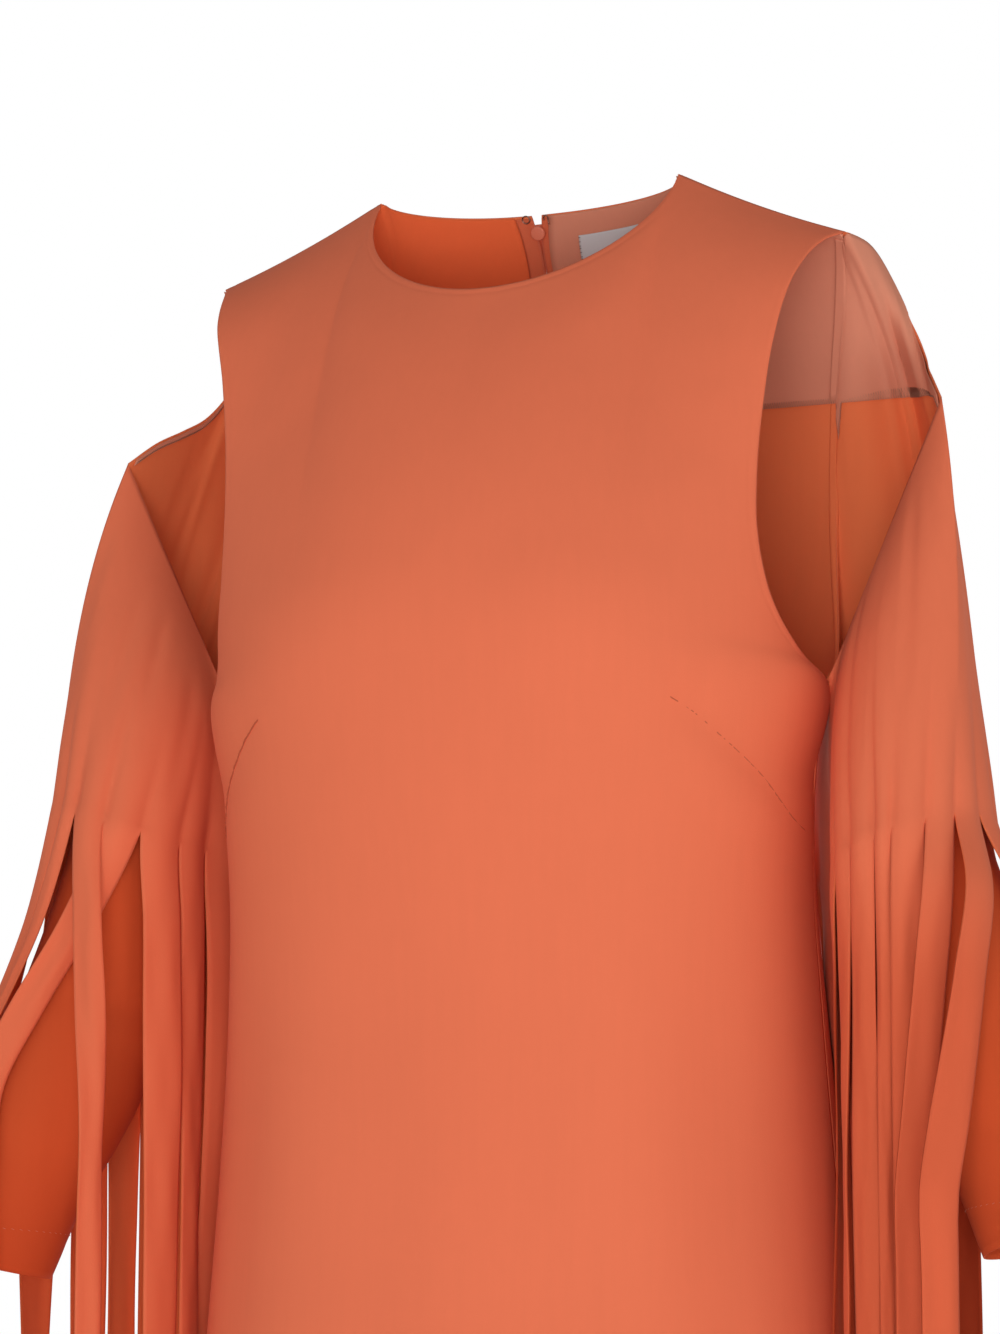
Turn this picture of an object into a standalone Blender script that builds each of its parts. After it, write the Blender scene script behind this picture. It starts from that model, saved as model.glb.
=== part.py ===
"""Full-length crepe dress with open shoulders and slashed outer sleeves, in its worn hollow form.

The front of the dress faces -Y, the wearer's left side is +X, and +Z is up. The origin lies midway
between the two points where the shoulder seams meet the neck edge. Each cut piece is a closed wall of
cloth laid on its own surface. The tables are in centimetres; CM turns them into metres.
"""
import math
from collections import namedtuple

import bmesh
import bpy
import numpy as np
from mathutils import Vector

CM = 0.01
MM = 0.001
FLIP = np.array([-1.0, 1.0, 1.0])  # turns a left-hand piece into a right-hand one

# ---------------------------------------------------------------- driving sizes
CLOTH = 1.6 * MM            # wall of one panel
TRIM = 1.0 * MM             # wall of facings, tapes and label
SEAM = 0.3 * MM             # space between pieces sewn together
SIDE_Y = -0.6               # cm, depth of the side seams
NECK_HALF = 9.4             # cm, half the width of the neck opening
NECK_TOP = 0.2              # cm, height of the neck side points
SHOULDER = (19.4, 0.0, -4.2)  # cm, outer end of the shoulder seam
SHOULDER_SAG = 0.25         # cm, dip of the shoulder seam between its ends
FRONT_NECK = (-7.9, -7.7)   # cm, y and z of the lowest front neck point
BACK_NECK = (4.7, -0.1)     # cm, y and z of the centre back neck point
ZIP_LEAN = -1.15            # cm, sideways lean of the centre back at the neck
ZIP_HALF_GAP = 0.08         # cm, half the space between the back panels along the zip
ZIP_TOP_GAP = 0.32          # cm, the same at the neck edge, above the slider
SLIDER_Z = -1.0             # cm, level of the slider
ZIP_CLOSED_Z = -1.2         # cm, level where the zip is closed
ZIP_END_Z = -57.0           # cm, lower end of the zip
TAPE_WIDTH = 0.9            # cm
FACING_EDGE = (-14.4, 0.25)  # cm, level of the facings' lower edge at depth 0, and its rise per depth
INNER_COLUMNS = 4           # mesh columns from the centre to the neck side point
OUTER_COLUMNS = 6           # mesh columns from there to the side
NECK_ANGLE = math.radians(33)  # turn of the body section under the neck side point
FLUTES = 9                  # soft waves round the hem
FLUTE_PHASE = 0.6           # radians
BUST = (8.6, -26.5, 6.0, 0.6)  # cm, x, z, reach and height of the bust fullness

Body = namedtuple("Body", "z half_width centre_y half_depth flute")
BODY = (
    Body(-146.0, 26.0, 0.3, 18.0, 0.050),
    Body(-121.0, 23.7, 0.15, 16.2, 0.033),
    Body(-98.0, 21.7, 0.0, 14.8, 0.014),
    Body(-80.0, 20.1, -0.1, 13.6, 0.003),
    Body(-67.0, 19.1, -0.2, 12.9, 0.0),
    Body(-57.0, 18.3, -0.3, 12.5, 0.0),
    Body(-49.0, 17.7, -0.8, 12.2, 0.0),
    Body(-42.0, 17.35, -1.6, 12.0, 0.0),
    Body(-36.0, 17.6, -2.15, 12.1, 0.0),
    Body(-30.5, 18.3, -2.2, 12.3, 0.0),
)

Centre = namedtuple("Centre", "y z")
FRONT_CENTRE = (
    Centre(-14.5, -30.5), Centre(-14.5, -27.0), Centre(-13.9, -22.5), Centre(-12.5, -17.5),
    Centre(-10.6, -12.8), Centre(*FRONT_NECK),
)
BACK_CENTRE = (
    Centre(10.1, -30.5), Centre(10.4, -24.0), Centre(10.3, -17.5), Centre(9.5, -11.5),
    Centre(8.0, -6.8), Centre(6.4, -3.2), Centre(*BACK_NECK),
)

Armhole = namedtuple("Armhole", "x y z turn")
FRONT_ARMHOLE = (
    Armhole(18.25, -0.6, -30.5, 97), Armhole(17.9, -3.2, -29.7, 87), Armhole(17.3, -5.4, -28.2, 77),
    Armhole(16.7, -6.9, -25.8, 69), Armhole(16.3, -7.3, -22.4, 64), Armhole(16.35, -7.0, -18.0, 61),
    Armhole(16.65, -6.4, -14.0, 60), Armhole(17.05, -5.6, -10.6, 61), Armhole(17.6, -4.4, -7.8, 64),
    Armhole(18.4, -2.4, -5.4, 68), Armhole(*SHOULDER, 72),
)
BACK_ARMHOLE = (
    Armhole(18.25, -0.6, -30.5, 83), Armhole(18.0, 1.9, -29.4, 80), Armhole(17.5, 4.3, -27.2, 76),
    Armhole(17.0, 6.0, -24.2, 71), Armhole(16.7, 6.9, -20.0, 66), Armhole(16.8, 7.0, -15.4, 63),
    Armhole(17.3, 6.1, -11.0, 62), Armhole(18.0, 4.6, -7.8, 63), Armhole(18.8, 2.3, -5.3, 66),
    Armhole(*SHOULDER, 72),
)

Point = namedtuple("Point", "x y z")
SLEEVE_CORNER = Point(25.3, -1.0, -14.7)    # top of the sleeve's front edge
CAP_EDGE = (
    SLEEVE_CORNER, Point(24.3, 1.0, -13.1), Point(23.5, 3.0, -12.0), Point(22.8, 5.0, -10.8),
    Point(22.0, 6.2, -9.2), Point(20.9, 6.4, -7.0), Point(20.3, 5.6, -5.5), Point(20.0, 4.2, -4.6),
    Point(19.8, 2.2, -4.2), Point(*SHOULDER),
)

# outer sleeve at the level where the slashes start
SLASH_Z = {1: -40.4, -1: -37.2}  # cm, by side
SLASH_TILT = 1.4            # cm, rise of that level towards the outside
SLASH_CENTRE = (23.8, -2.7)  # cm
SLASH_RADII = (4.4, 6.5)    # cm, across and deep
LOBE_TURN = 318.0           # degrees, turn at which the sleeve is drawn in behind the body
LOBE_REACH = (30.0, 20.0)   # degrees over which that fades, outwards and towards the body
LOBE_PULL = (-4.7, 2.9)     # cm, how far it is drawn in, across and deep
FRONT_STEPS = 14            # mesh columns along the front edge
CAP_STEPS = 9               # along the free shoulder edge
ARM_STEPS = 9               # along the back armhole seam
BODICE_HEIGHTS = (0.0, 0.10, 0.21, 0.33, 0.45, 0.57, 0.69, 0.82, 0.95, 1.0)  # rows, underarm to shoulder
SLEEVE_ROWS = 6
STRIPS = 16
SLASHES = {  # turn of each slash round the sleeve, degrees from the body forwards, by side
    1: (-12, 10, 33, 58, 82, 96, 121, 143, 166, 192, 219, 245, 269, 288, 303, 327),
    -1: (-28, -4, 20.7, 50.3, 78, 103.2, 120, 145, 168, 192, 217, 241, 263, 282, 296, 311),
}
STRIP_GAP = 0.22            # cm, width that a slash opens to
STRIP_END_Z = -96.0         # cm
STRIP_LEVELS = (-43.5, -48.5, -53.0, -57.0, -60.5, -64.5, -77.0)  # cm, rows above the end
STRIP_CLEAR = 1.1           # cm, space between hanging strips and what they rest on
ELBOW_Z = -48.5             # cm, level at which the strips have slid to their places on the arm
EDGE_FACING = 1.2           # cm, width of the facing along the sleeve's front edge
FACING_ROLL = 0.25          # cm, how far the facings stay inside the edges
FACING_INSET = (2.3 * MM, 3.4 * MM)  # space from the sleeve's face at the sewn and at the loose edge
CAP_FACING_HEM = (          # loose edge behind the free shoulder edge, one point a mesh column
    Point(24.20, 0.50, -14.50), Point(23.70, 1.90, -13.95), Point(23.10, 3.30, -13.60),
    Point(22.50, 4.20, -13.35), Point(21.90, 4.60, -13.25), Point(21.20, 4.60, -13.20),
)
FACING_BOW = 0.9            # cm, how far it bows in between its edges at the shoulder end
SLEEVE_SWELL = 1.0          # cm, rounding of the outer sleeve between its edge and the slashes
SHOULDER_FILL = 5.0         # cm, backward fullness of the sleeve behind the shoulder
SHOULDER_REACH = 2.0        # mesh columns over which it fades
FOLD_REACH = 5.5            # mesh columns over which the folds of the free shoulder edge run down
MITRE_LIMIT = 0.45          # least cosine that walls are mitred by at a fold
CUFF_DROP = 3.0             # cm, how far under the cuff the strips still keep clear of it

Arm = namedtuple("Arm", "z x y across deep")
INNER_SLEEVE = (
    Arm(-62.4, 33.2, -5.0, 5.1, 4.5), Arm(-59.5, 31.6, -4.6, 5.2, 4.6), Arm(-55.5, 29.4, -4.1, 5.2, 4.7),
    Arm(-51.0, 27.2, -3.5, 5.0, 4.8), Arm(-45.5, 25.3, -2.9, 4.5, 5.0), Arm(-40.5, 24.2, -2.6, 3.7, 5.2),
    Arm(-36.5, 23.6, -2.4, 3.3, 5.2),
)
INNER_TOP_Z = -33.0         # cm, where the inner sleeve is sewn into the outer one
INNER_TOP_SPARE = 1.6 * MM  # extra space there where the outer sleeve is drawn in
CUFF_TILT = 0.24            # rise of the cuff's edge towards the outside, per unit of width

# place: turn round the arm at the elbow, degrees (None falls straight); lift: extra space off the arm, cm;
# turn_mid, turn_end: twist, degrees; trim: how much shorter it is, cm
Strip = namedtuple("Strip", "place lift turn_mid turn_end trim")
STRIP_TABLE = {
    1: (
        Strip(None, 0.0, -8, -16, 0.0), Strip(None, 0.0, 8, 12, 0.6), Strip(None, 0.0, -12, -20, 0.2),
        Strip(None, 0.0, 6, -8, 0.9), Strip(None, 0.0, 24, 30, 0.3), Strip(None, 0.0, -4, 8, 0.7),
        Strip(88, 0.0, 0, -10, 0.0), Strip(106, 1.1, 0, 10, 0.5), Strip(166, 0.0, -6, 10, 0.2),
        Strip(192, 0.0, 8, -12, 0.8), Strip(218, 0.0, -6, 16, 0.4), Strip(None, 0.0, 12, 24, 0.0),
        Strip(None, 0.0, -12, -20, 0.6), Strip(None, 0.0, 8, 18, 0.3), Strip(None, 0.0, -12, -24, 0.7),
        Strip(None, 0.0, 6, 14, 0.1),
    ),
    -1: (
        Strip(None, 0.0, -6, -14, 0.5), Strip(None, 0.0, 8, 14, 0.0), Strip(None, 0.0, -6, -12, 0.7),
        Strip(127, 0.0, 0, 10, 0.2), Strip(None, 1.4, -60, -50, 0.0), Strip(148, 0.0, 0, -10, 0.6),
        Strip(167, 0.0, 0, 12, 0.3), Strip(191, 0.0, 6, -14, 0.9), Strip(215, 0.0, -6, 10, 0.1),
        Strip(239, 0.0, 8, 16, 0.5), Strip(None, 0.0, -10, -22, 0.0), Strip(None, 0.0, 12, 20, 0.7),
        Strip(None, 0.0, -12, 14, 0.2), Strip(None, 0.0, 8, 18, 0.6), Strip(None, 0.0, -10, -24, 0.3),
        Strip(None, 0.0, 6, 12, 0.8),
    ),
}

LABEL = (2.45, 4.2, 2.0)    # cm, start beside the zip, width, height
LABEL_DROP = 1.5            # cm, from the neck edge
DISC_SIDES = 14             # sides of the slider's round plate
PULL_AXIS = (0.0, 2.3, 0.9)  # mm, hinge of the pull in the zip's frame
WIRE_RADIUS = 0.45 * MM     # hook and eye
WIRE_SIDES = 6

# ---------------------------------------------------------------- small mathematics


def spline(knots, values, at):
    """Smooth curve through values at rising knots, read at the places given."""
    k = np.asarray(knots, float)
    v = np.asarray(values, float).reshape(len(k), -1)
    at = np.atleast_1d(np.asarray(at, float))
    slope = np.gradient(v, k, axis=0)
    i = np.clip(np.searchsorted(k, at) - 1, 0, len(k) - 2)
    h = (k[i + 1] - k[i])[:, None]
    t = (at[:, None] - k[i][:, None]) / h
    a = (2 * t**3 - 3 * t**2 + 1) * v[i] + (t**3 - 2 * t**2 + t) * h * slope[i]
    b = (3 * t**2 - 2 * t**3) * v[i + 1] + (t**3 - t**2) * h * slope[i + 1]
    return a + b


def along(points, at):
    """Smooth curve through points, read at fractions of its chord length."""
    p = np.asarray(points, float)
    reach = np.concatenate([[0], np.cumsum(np.linalg.norm(np.diff(p[:, :3], axis=0), axis=1))])
    return spline(reach / reach[-1], p, at)


def unit(v):
    """Vectors scaled to length one."""
    return v / np.maximum(np.linalg.norm(v, axis=-1, keepdims=True), 1e-12)


def body_section(z):
    """Half width, centre depth, half depth and flute of the dress at heights z."""
    rows = sorted(BODY)
    return spline([r.z for r in rows], [r[1:] for r in rows], z).T


def side_angle(z):
    """Turn from the centre front to the side seam at heights z."""
    _, centre_y, half_depth, _ = body_section(z)
    return math.pi / 2 + np.arcsin((SIDE_Y - centre_y) / half_depth)


def column_fractions():
    """Places of the mesh columns from a panel's centre (0) to its side (1)."""
    inner = np.linspace(0.0, 0.4, INNER_COLUMNS + 1)
    outer = np.linspace(0.4, 1.0, OUTER_COLUMNS + 1)[1:]
    return np.concatenate([inner, outer])


def turned(fraction, side):
    """Turn of the body section at column fractions, for sections ending at the turn side."""
    return np.interp(fraction, [0.0, 0.4, 1.0], [0.0, NECK_ANGLE, side])


def zip_half_gap(z):
    """Half the space between the back panels at height z: it opens to a V above the slider."""
    return np.interp(z, [ZIP_END_Z - 4, ZIP_END_Z, ZIP_CLOSED_Z, BACK_NECK[1]],
                     [SEAM / CM / 2, ZIP_HALF_GAP, ZIP_HALF_GAP, ZIP_TOP_GAP])


def zip_line(z):
    """Sideways place of the centre back at height z: it leans near the neck."""
    t = np.clip((np.asarray(z, float) + 26.0) / 24.0, 0, 1)
    return ZIP_LEAN * t * t * (3 - 2 * t)


# ---------------------------------------------------------------- panel surfaces


def skirt_rows(back, sign):
    """Points of a half panel from the hem up to just below the underarm, rows by columns."""
    rows = []
    fractions = column_fractions()
    for z in sorted(r.z for r in BODY)[:-1]:
        a, centre_y, b, flute = (float(v[0]) for v in body_section(z))
        side = float(side_angle(z)[0])
        angle = math.pi - turned(fractions, math.pi - side) if back else turned(fractions, side)
        wave = 1 + flute * np.cos(FLUTES * angle * sign + FLUTE_PHASE)
        x = a * wave * np.sin(angle)
        y = centre_y - b * wave * np.cos(angle)
        if back:
            x = x + (1 - fractions) * (zip_line(z) * sign + zip_half_gap(z))
        rows.append(np.stack([x, y, np.full_like(x, z)], 1))
    return rows


def top_row(back, sign):
    """Points of a half panel's upper edge: neck curve, then shoulder seam."""
    start = float(zip_line(BACK_NECK[1]) * sign + ZIP_TOP_GAP) if back else 0.0
    depth, low = BACK_NECK if back else FRONT_NECK
    t = np.linspace(0, math.pi / 2, INNER_COLUMNS + 1)
    neck = np.stack([start + (NECK_HALF - start) * np.sin(t), depth * np.cos(t),
                     NECK_TOP + (low - NECK_TOP) * np.cos(t)], 1)
    s = np.linspace(0, 1, OUTER_COLUMNS + 1)[1:, None]
    seam = (1 - s) * np.array([NECK_HALF, 0, NECK_TOP]) + s * np.array(SHOULDER)
    seam[:, 2] -= SHOULDER_SAG * 4 * (s * (1 - s))[:, 0]
    seam[:, 1] += (SEAM / CM / 2) * (1 if back else -1)
    return np.concatenate([neck, seam])


def bodice_rows(back, sign):
    """Points of a half panel from the underarm to its upper edge.

    Each row is an arc of an ellipse from the centre line to the armhole edge; towards the top it turns
    into the neck curve and the shoulder seam.
    """
    fractions = column_fractions()
    top = top_row(back, sign)
    height = np.array(BODICE_HEIGHTS)
    centre = along([(0, c.y, c.z) for c in (BACK_CENTRE if back else FRONT_CENTRE)], height)
    edge = along(BACK_ARMHOLE if back else FRONT_ARMHOLE, height)
    if back:
        centre[:, 0] = zip_line(centre[:, 2]) * sign + zip_half_gap(centre[:, 2])
    ramp = fractions[:, None]
    top_shape = top - ((1 - ramp) * top[0] + ramp * top[-1])
    rows = []
    for v, c, e in zip(height, centre, edge):
        turn = math.radians(e[3])
        angle = turned(fractions, turn)
        x = c[0] + (e[0] - c[0]) * np.sin(angle) / math.sin(turn)
        y = c[1] + (e[1] - c[1]) * (1 - np.cos(angle)) / (1 - math.cos(turn))
        straight = (1 - ramp) * c[:3] + ramp * e[:3]
        arc = np.stack([x, y, straight[:, 2]], 1) - straight
        blend = v ** 2.5
        rows.append(straight + (1 - blend) * arc + blend * top_shape)
    rows[-1] = top
    return rows


def half_panel(back, sign):
    """Points of half a panel on the +X side, in metres, rows from the hem by columns from the centre."""
    grid = np.array(skirt_rows(back, sign) + bodice_rows(back, sign))
    if not back:
        x, z, reach, rise = BUST
        near = np.exp(-((grid[..., 0] - x) ** 2 + (grid[..., 2] - z) ** 2) / reach**2)
        grid[..., 1] -= rise * near
    seam_rows = len(BODY)
    inward = unit(grid[:seam_rows, -2] - grid[:seam_rows, -1])
    grid[:seam_rows, -1] += inward * (SEAM / CM / 2)
    return grid * CM


def normals_of(grid, wrap=False):
    """Unit normals of a grid with rows going up and columns going left to right seen from outside."""
    rise = np.gradient(grid, axis=0)
    if wrap:
        across = np.roll(grid, -1, axis=1) - np.roll(grid, 1, axis=1)
    else:
        across = np.gradient(grid, axis=1)
    return unit(np.cross(across, rise))


def mitred(grid, normal, wrap=False):
    """Normals of a grid, made longer at folds so that a wall moved along them keeps its distance."""
    rise = np.gradient(grid, axis=0)
    step = np.diff(np.concatenate([grid, grid[:, :1]], axis=1) if wrap else grid, axis=1)
    after = step if wrap else np.concatenate([step, step[:, -1:]], axis=1)
    before = np.roll(step, 1, axis=1) if wrap else np.concatenate([step[:, :1], step], axis=1)
    lean = [np.abs((normal * unit(np.cross(side, rise))).sum(-1)) for side in (after, before)]
    return normal / np.clip(np.minimum(*lean), MITRE_LIMIT, 1)[..., None]


def panels(sign):
    """Half front and half back of one side, drawn on +X, with normals that agree along the seams."""
    front, back = half_panel(False, sign), half_panel(True, sign)
    other = half_panel(False, -sign)
    whole = np.concatenate([other[:, :0:-1] * FLIP, front], axis=1)
    front_normal = normals_of(whole)[:, other.shape[1] - 1:]
    back_normal = -normals_of(back)
    shared = unit(front_normal + back_normal)
    for normal in (front_normal, back_normal):
        normal[:len(BODY), -1] = shared[:len(BODY), -1]
        normal[-1, INNER_COLUMNS:] = shared[-1, INNER_COLUMNS:]
    return front, front_normal, back, back_normal


# ---------------------------------------------------------------- solids


def material(name, colour, roughness=0.85, metallic=0.0):
    """A plain Principled material."""
    made = bpy.data.materials.new(name)
    made.use_nodes = True
    shader = made.node_tree.nodes["Principled BSDF"]
    shader.inputs["Base Color"].default_value = (*colour, 1.0)
    shader.inputs["Roughness"].default_value = roughness
    shader.inputs["Metallic"].default_value = metallic
    return made


def add_object(name, points, faces, finish, origin=(0, 0, 0)):
    """Make one closed mesh object, its faces pointing out."""
    mesh = bpy.data.meshes.new(name)
    mesh.from_pydata([tuple(Vector(p) - Vector(origin)) for p in points], [], faces)
    mesh.materials.append(finish)
    work = bmesh.new()
    work.from_mesh(mesh)
    bmesh.ops.recalc_face_normals(work, faces=work.faces)
    if work.calc_volume(signed=True) < 0:
        bmesh.ops.reverse_faces(work, faces=work.faces)
    work.to_mesh(mesh)
    work.free()
    mesh.set_sharp_from_angle(angle=math.radians(50))
    item = bpy.data.objects.new(name, mesh)
    item.location = origin
    bpy.context.scene.collection.objects.link(item)
    return item


def split_quad(a, b, c, d):
    """A four-sided face as two triangles."""
    return [(a, b, c), (a, c, d)]


def wall(name, outer, inner, finish, wrap=False):
    """A closed wall between two grids of the same shape."""
    rows, columns = outer.shape[:2]
    back = rows * columns
    faces = []

    def at(i, j, layer):
        return layer * back + i * columns + j % columns

    for i in range(rows - 1):
        for j in range(columns if wrap else columns - 1):
            quad = [(i, j), (i, j + 1), (i + 1, j + 1), (i + 1, j)]
            faces += split_quad(*(at(*q, 0) for q in quad))
            faces += [face[::-1] for face in split_quad(*(at(*q, 1) for q in quad))]
    rim = [[(0, j), (0, j + 1)] for j in range(columns if wrap else columns - 1)]
    rim += [[(rows - 1, j + 1), (rows - 1, j)] for j in range(columns if wrap else columns - 1)]
    if not wrap:
        rim += [[(i + 1, 0), (i, 0)] for i in range(rows - 1)]
        rim += [[(i, columns - 1), (i + 1, columns - 1)] for i in range(rows - 1)]
    for p, q in rim:
        faces += split_quad(at(*q, 0), at(*p, 0), at(*p, 1), at(*q, 1))
    points = np.concatenate([outer.reshape(-1, 3), inner.reshape(-1, 3)])
    return add_object(name, points, faces, finish)


def sample(grid, i, j):
    """Grid values at fractional rows i and columns j."""
    i, j = np.broadcast_arrays(np.asarray(i, float), np.asarray(j, float))
    i0 = np.clip(np.floor(i).astype(int), 0, grid.shape[0] - 2)
    j0 = np.clip(np.floor(j).astype(int), 0, grid.shape[1] - 2)
    s, t = (i - i0)[..., None], (j - j0)[..., None]
    lower = (1 - t) * grid[i0, j0] + t * grid[i0, j0 + 1]
    upper = (1 - t) * grid[i0 + 1, j0] + t * grid[i0 + 1, j0 + 1]
    return (1 - s) * lower + s * upper


def lined(name, grid, normal, i, j, inset, finish, flip):
    """A thin wall inside a panel: the panel's points at rows i and columns j, moved in by their normals."""
    base = sample(grid, i, j)
    own = normals_of(base)
    out = mitred(base, own) * np.sign((own * sample(normal, i, j)).sum())
    return wall(name, (base - out * inset) * flip, (base - out * (inset + TRIM)) * flip, finish)


def span(first, last):
    """Grid places from first to last, with every whole line between them."""
    whole = np.arange(math.floor(first) + 1, math.ceil(last))
    return np.concatenate([[first], whole, [last]])


# ---------------------------------------------------------------- sleeves


def ring_angles(sign):
    """Turns of the mesh columns round the outer sleeve: every slash, and midway between them."""
    slash = np.radians(SLASHES[sign])
    following = np.append(slash[1:], slash[0] + 2 * math.pi)
    return np.stack([slash, (slash + following) / 2], 1).ravel()


def lobe(turn):
    """Share of the full pull by which the outer sleeve is drawn in behind the body, at turns round it."""
    apart = (np.degrees(turn) - LOBE_TURN + 180) % 360 - 180
    return np.exp(-((apart / np.where(apart < 0, *LOBE_REACH)) ** 2))


def sleeve_top(back):
    """Upper edge of the outer sleeve: front edge, free shoulder edge, back armhole seam (metres)."""
    armhole = back[len(BODY) - 1:, -1]
    beside = unit(armhole - back[len(BODY) - 1:, -2])
    beside[0] = (1, 0, 0)
    seam = armhole + beside * SEAM * 1.4
    step = np.linspace(0, 1, FRONT_STEPS + 1)[:-1, None]
    front = (1 - step) * seam[0] + step * np.array(SLEEVE_CORNER) * CM
    cap = along(CAP_EDGE, np.linspace(0, 1, CAP_STEPS + 1)) * CM
    cap = cap[:-1]
    return np.concatenate([front, cap, seam[:0:-1]])


def sleeve_upper(back, sign):
    """Grid of the outer sleeve from the slashes (row 0) to its upper edge, columns from the underarm.

    Each column runs from the slash level to the upper edge. The slash level is an ellipse, drawn in behind
    the body towards the back armhole. The edge's bends at the underarm and at the shoulder die out quickly
    below it; the fold at the sleeve corner stays.
    """
    turn = ring_angles(sign)
    drawn = lobe(turn)
    ring = np.stack([SLASH_CENTRE[0] - SLASH_RADII[0] * np.cos(turn) + LOBE_PULL[0] * drawn,
                     SLASH_CENTRE[1] - SLASH_RADII[1] * np.sin(turn) + LOBE_PULL[1] * drawn,
                     SLASH_Z[sign] - SLASH_TILT * np.cos(turn)], 1) * CM
    top = sleeve_top(back)
    soft = top.copy()
    keep = np.exp(-((np.arange(len(top)) - FRONT_STEPS - CAP_STEPS / 3) / FOLD_REACH) ** 4)[:, None]
    for _ in range(3):
        mean = (np.roll(soft, 1, axis=0) + 2 * soft + np.roll(soft, -1, axis=0))[:, :2] / 4
        soft[:, :2] = keep * soft[:, :2] + (1 - keep) * mean
    t = np.linspace(0, 1, SLEEVE_ROWS + 1)[:, None, None]
    grid = (1 - t) * ring + t * (soft + (top - soft) * t**6)
    outward = np.stack([-np.cos(turn), -np.sin(turn), 0 * turn], 1)
    swell = (0.2 + 0.8 * np.abs(np.sin(turn)))[:, None] * outward
    grid = grid + swell * SLEEVE_SWELL * CM * (4 * t * (1 - t)) ** 1.2
    near = np.exp(-((np.arange(len(top)) - FRONT_STEPS - CAP_STEPS) / SHOULDER_REACH) ** 2)
    grid[..., 1] += SHOULDER_FILL * CM * near * (t**3 * (1 - t) * 256 / 27)[..., 0]
    return grid


def section_of(table, z):
    """Centre and radii of a table's level section at height z, or None well below its last row."""
    rows = sorted(table)
    if z < rows[0].z - CUFF_DROP:
        return None
    value = spline([r.z for r in rows], [r[1:] for r in rows], max(z, rows[0].z))[0]
    return value[:2], value[2:]


def moved_out(p, centre, radii):
    """A plan point moved straight out of an ellipse if it lies inside, how free it is, and the way out."""
    reach = float(np.linalg.norm((p - centre) / radii))
    way = unit((p - centre) / radii**2)
    if reach >= 1:
        return p, min((reach - 1) / 0.25, 1.0), way
    return centre + (p - centre) / reach, 0.0, way


def hang(start, row, levels, across, slash_z):
    """Plan places and edge directions of a strip at the levels.

    It slides to its place on the arm by the elbow, then falls straight, moving over arm and skirt.
    """
    p = np.array(start)
    goal = p
    if row.place is not None:
        elbow = section_of(INNER_SLEEVE, ELBOW_Z)
        angle = math.radians(row.place)
        goal = elbow[0] - (elbow[1] + STRIP_CLEAR + row.lift) * np.array([math.cos(angle), math.sin(angle)])
    elif row.lift:
        goal = p + across[::-1] * np.array([1, -1]) * row.lift
    places, ways, frees = [], [], []
    slid = 0.0
    for z in levels:
        share = min((slash_z - z) / (slash_z - ELBOW_Z), 1.0)
        p = p + (goal - np.array(start)) * (share - slid)
        slid = share
        free, toward = 1.0, np.zeros(2)
        arm = section_of(INNER_SLEEVE, z)
        if arm:
            p, free, way = moved_out(p, arm[0], arm[1] + STRIP_CLEAR + row.lift)
            toward = toward + (1 - free) * way
        half_width, centre_y, half_depth, flute = (float(v[0]) for v in body_section(z))
        radii = np.array([half_width, half_depth]) * (1 + flute) + STRIP_CLEAR
        p, clear, way = moved_out(p, np.array([0, centre_y]), radii)
        toward = toward - (1 - clear) * way
        places.append(p)
        frees.append(min(free, clear))
        ways.append(unit(across + 3 * np.array([-toward[1], toward[0]])))
    return np.array(places), np.array(ways), np.array(frees)


def strip_edges(left, right, row):
    """Left and right edge points of a hanging strip (metres), below its top edge points."""
    levels = np.array(STRIP_LEVELS + (STRIP_END_Z + row.trim,))
    middle = (left + right) / 2 / CM
    across = unit((right - left)[:2])
    places, ways, free = hang(middle[:2], row, levels, across, middle[2])
    share = (middle[2] - levels) / (middle[2] - levels[-1])
    turn = np.radians(np.interp(share, [0, 0.3, 1], [0, row.turn_mid, row.turn_end]) * free)
    width = np.linalg.norm(right - left) / CM - STRIP_GAP
    direction = np.stack([ways[:, 0] * np.cos(turn) - ways[:, 1] * np.sin(turn),
                          ways[:, 0] * np.sin(turn) + ways[:, 1] * np.cos(turn), 0 * turn], 1)
    centre = np.stack([places[:, 0], places[:, 1], levels], 1)
    outward = np.cross(direction, (0, 0, 1))
    return ((centre - direction * width / 2) * CM, (centre + direction * width / 2) * CM, outward)


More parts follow.
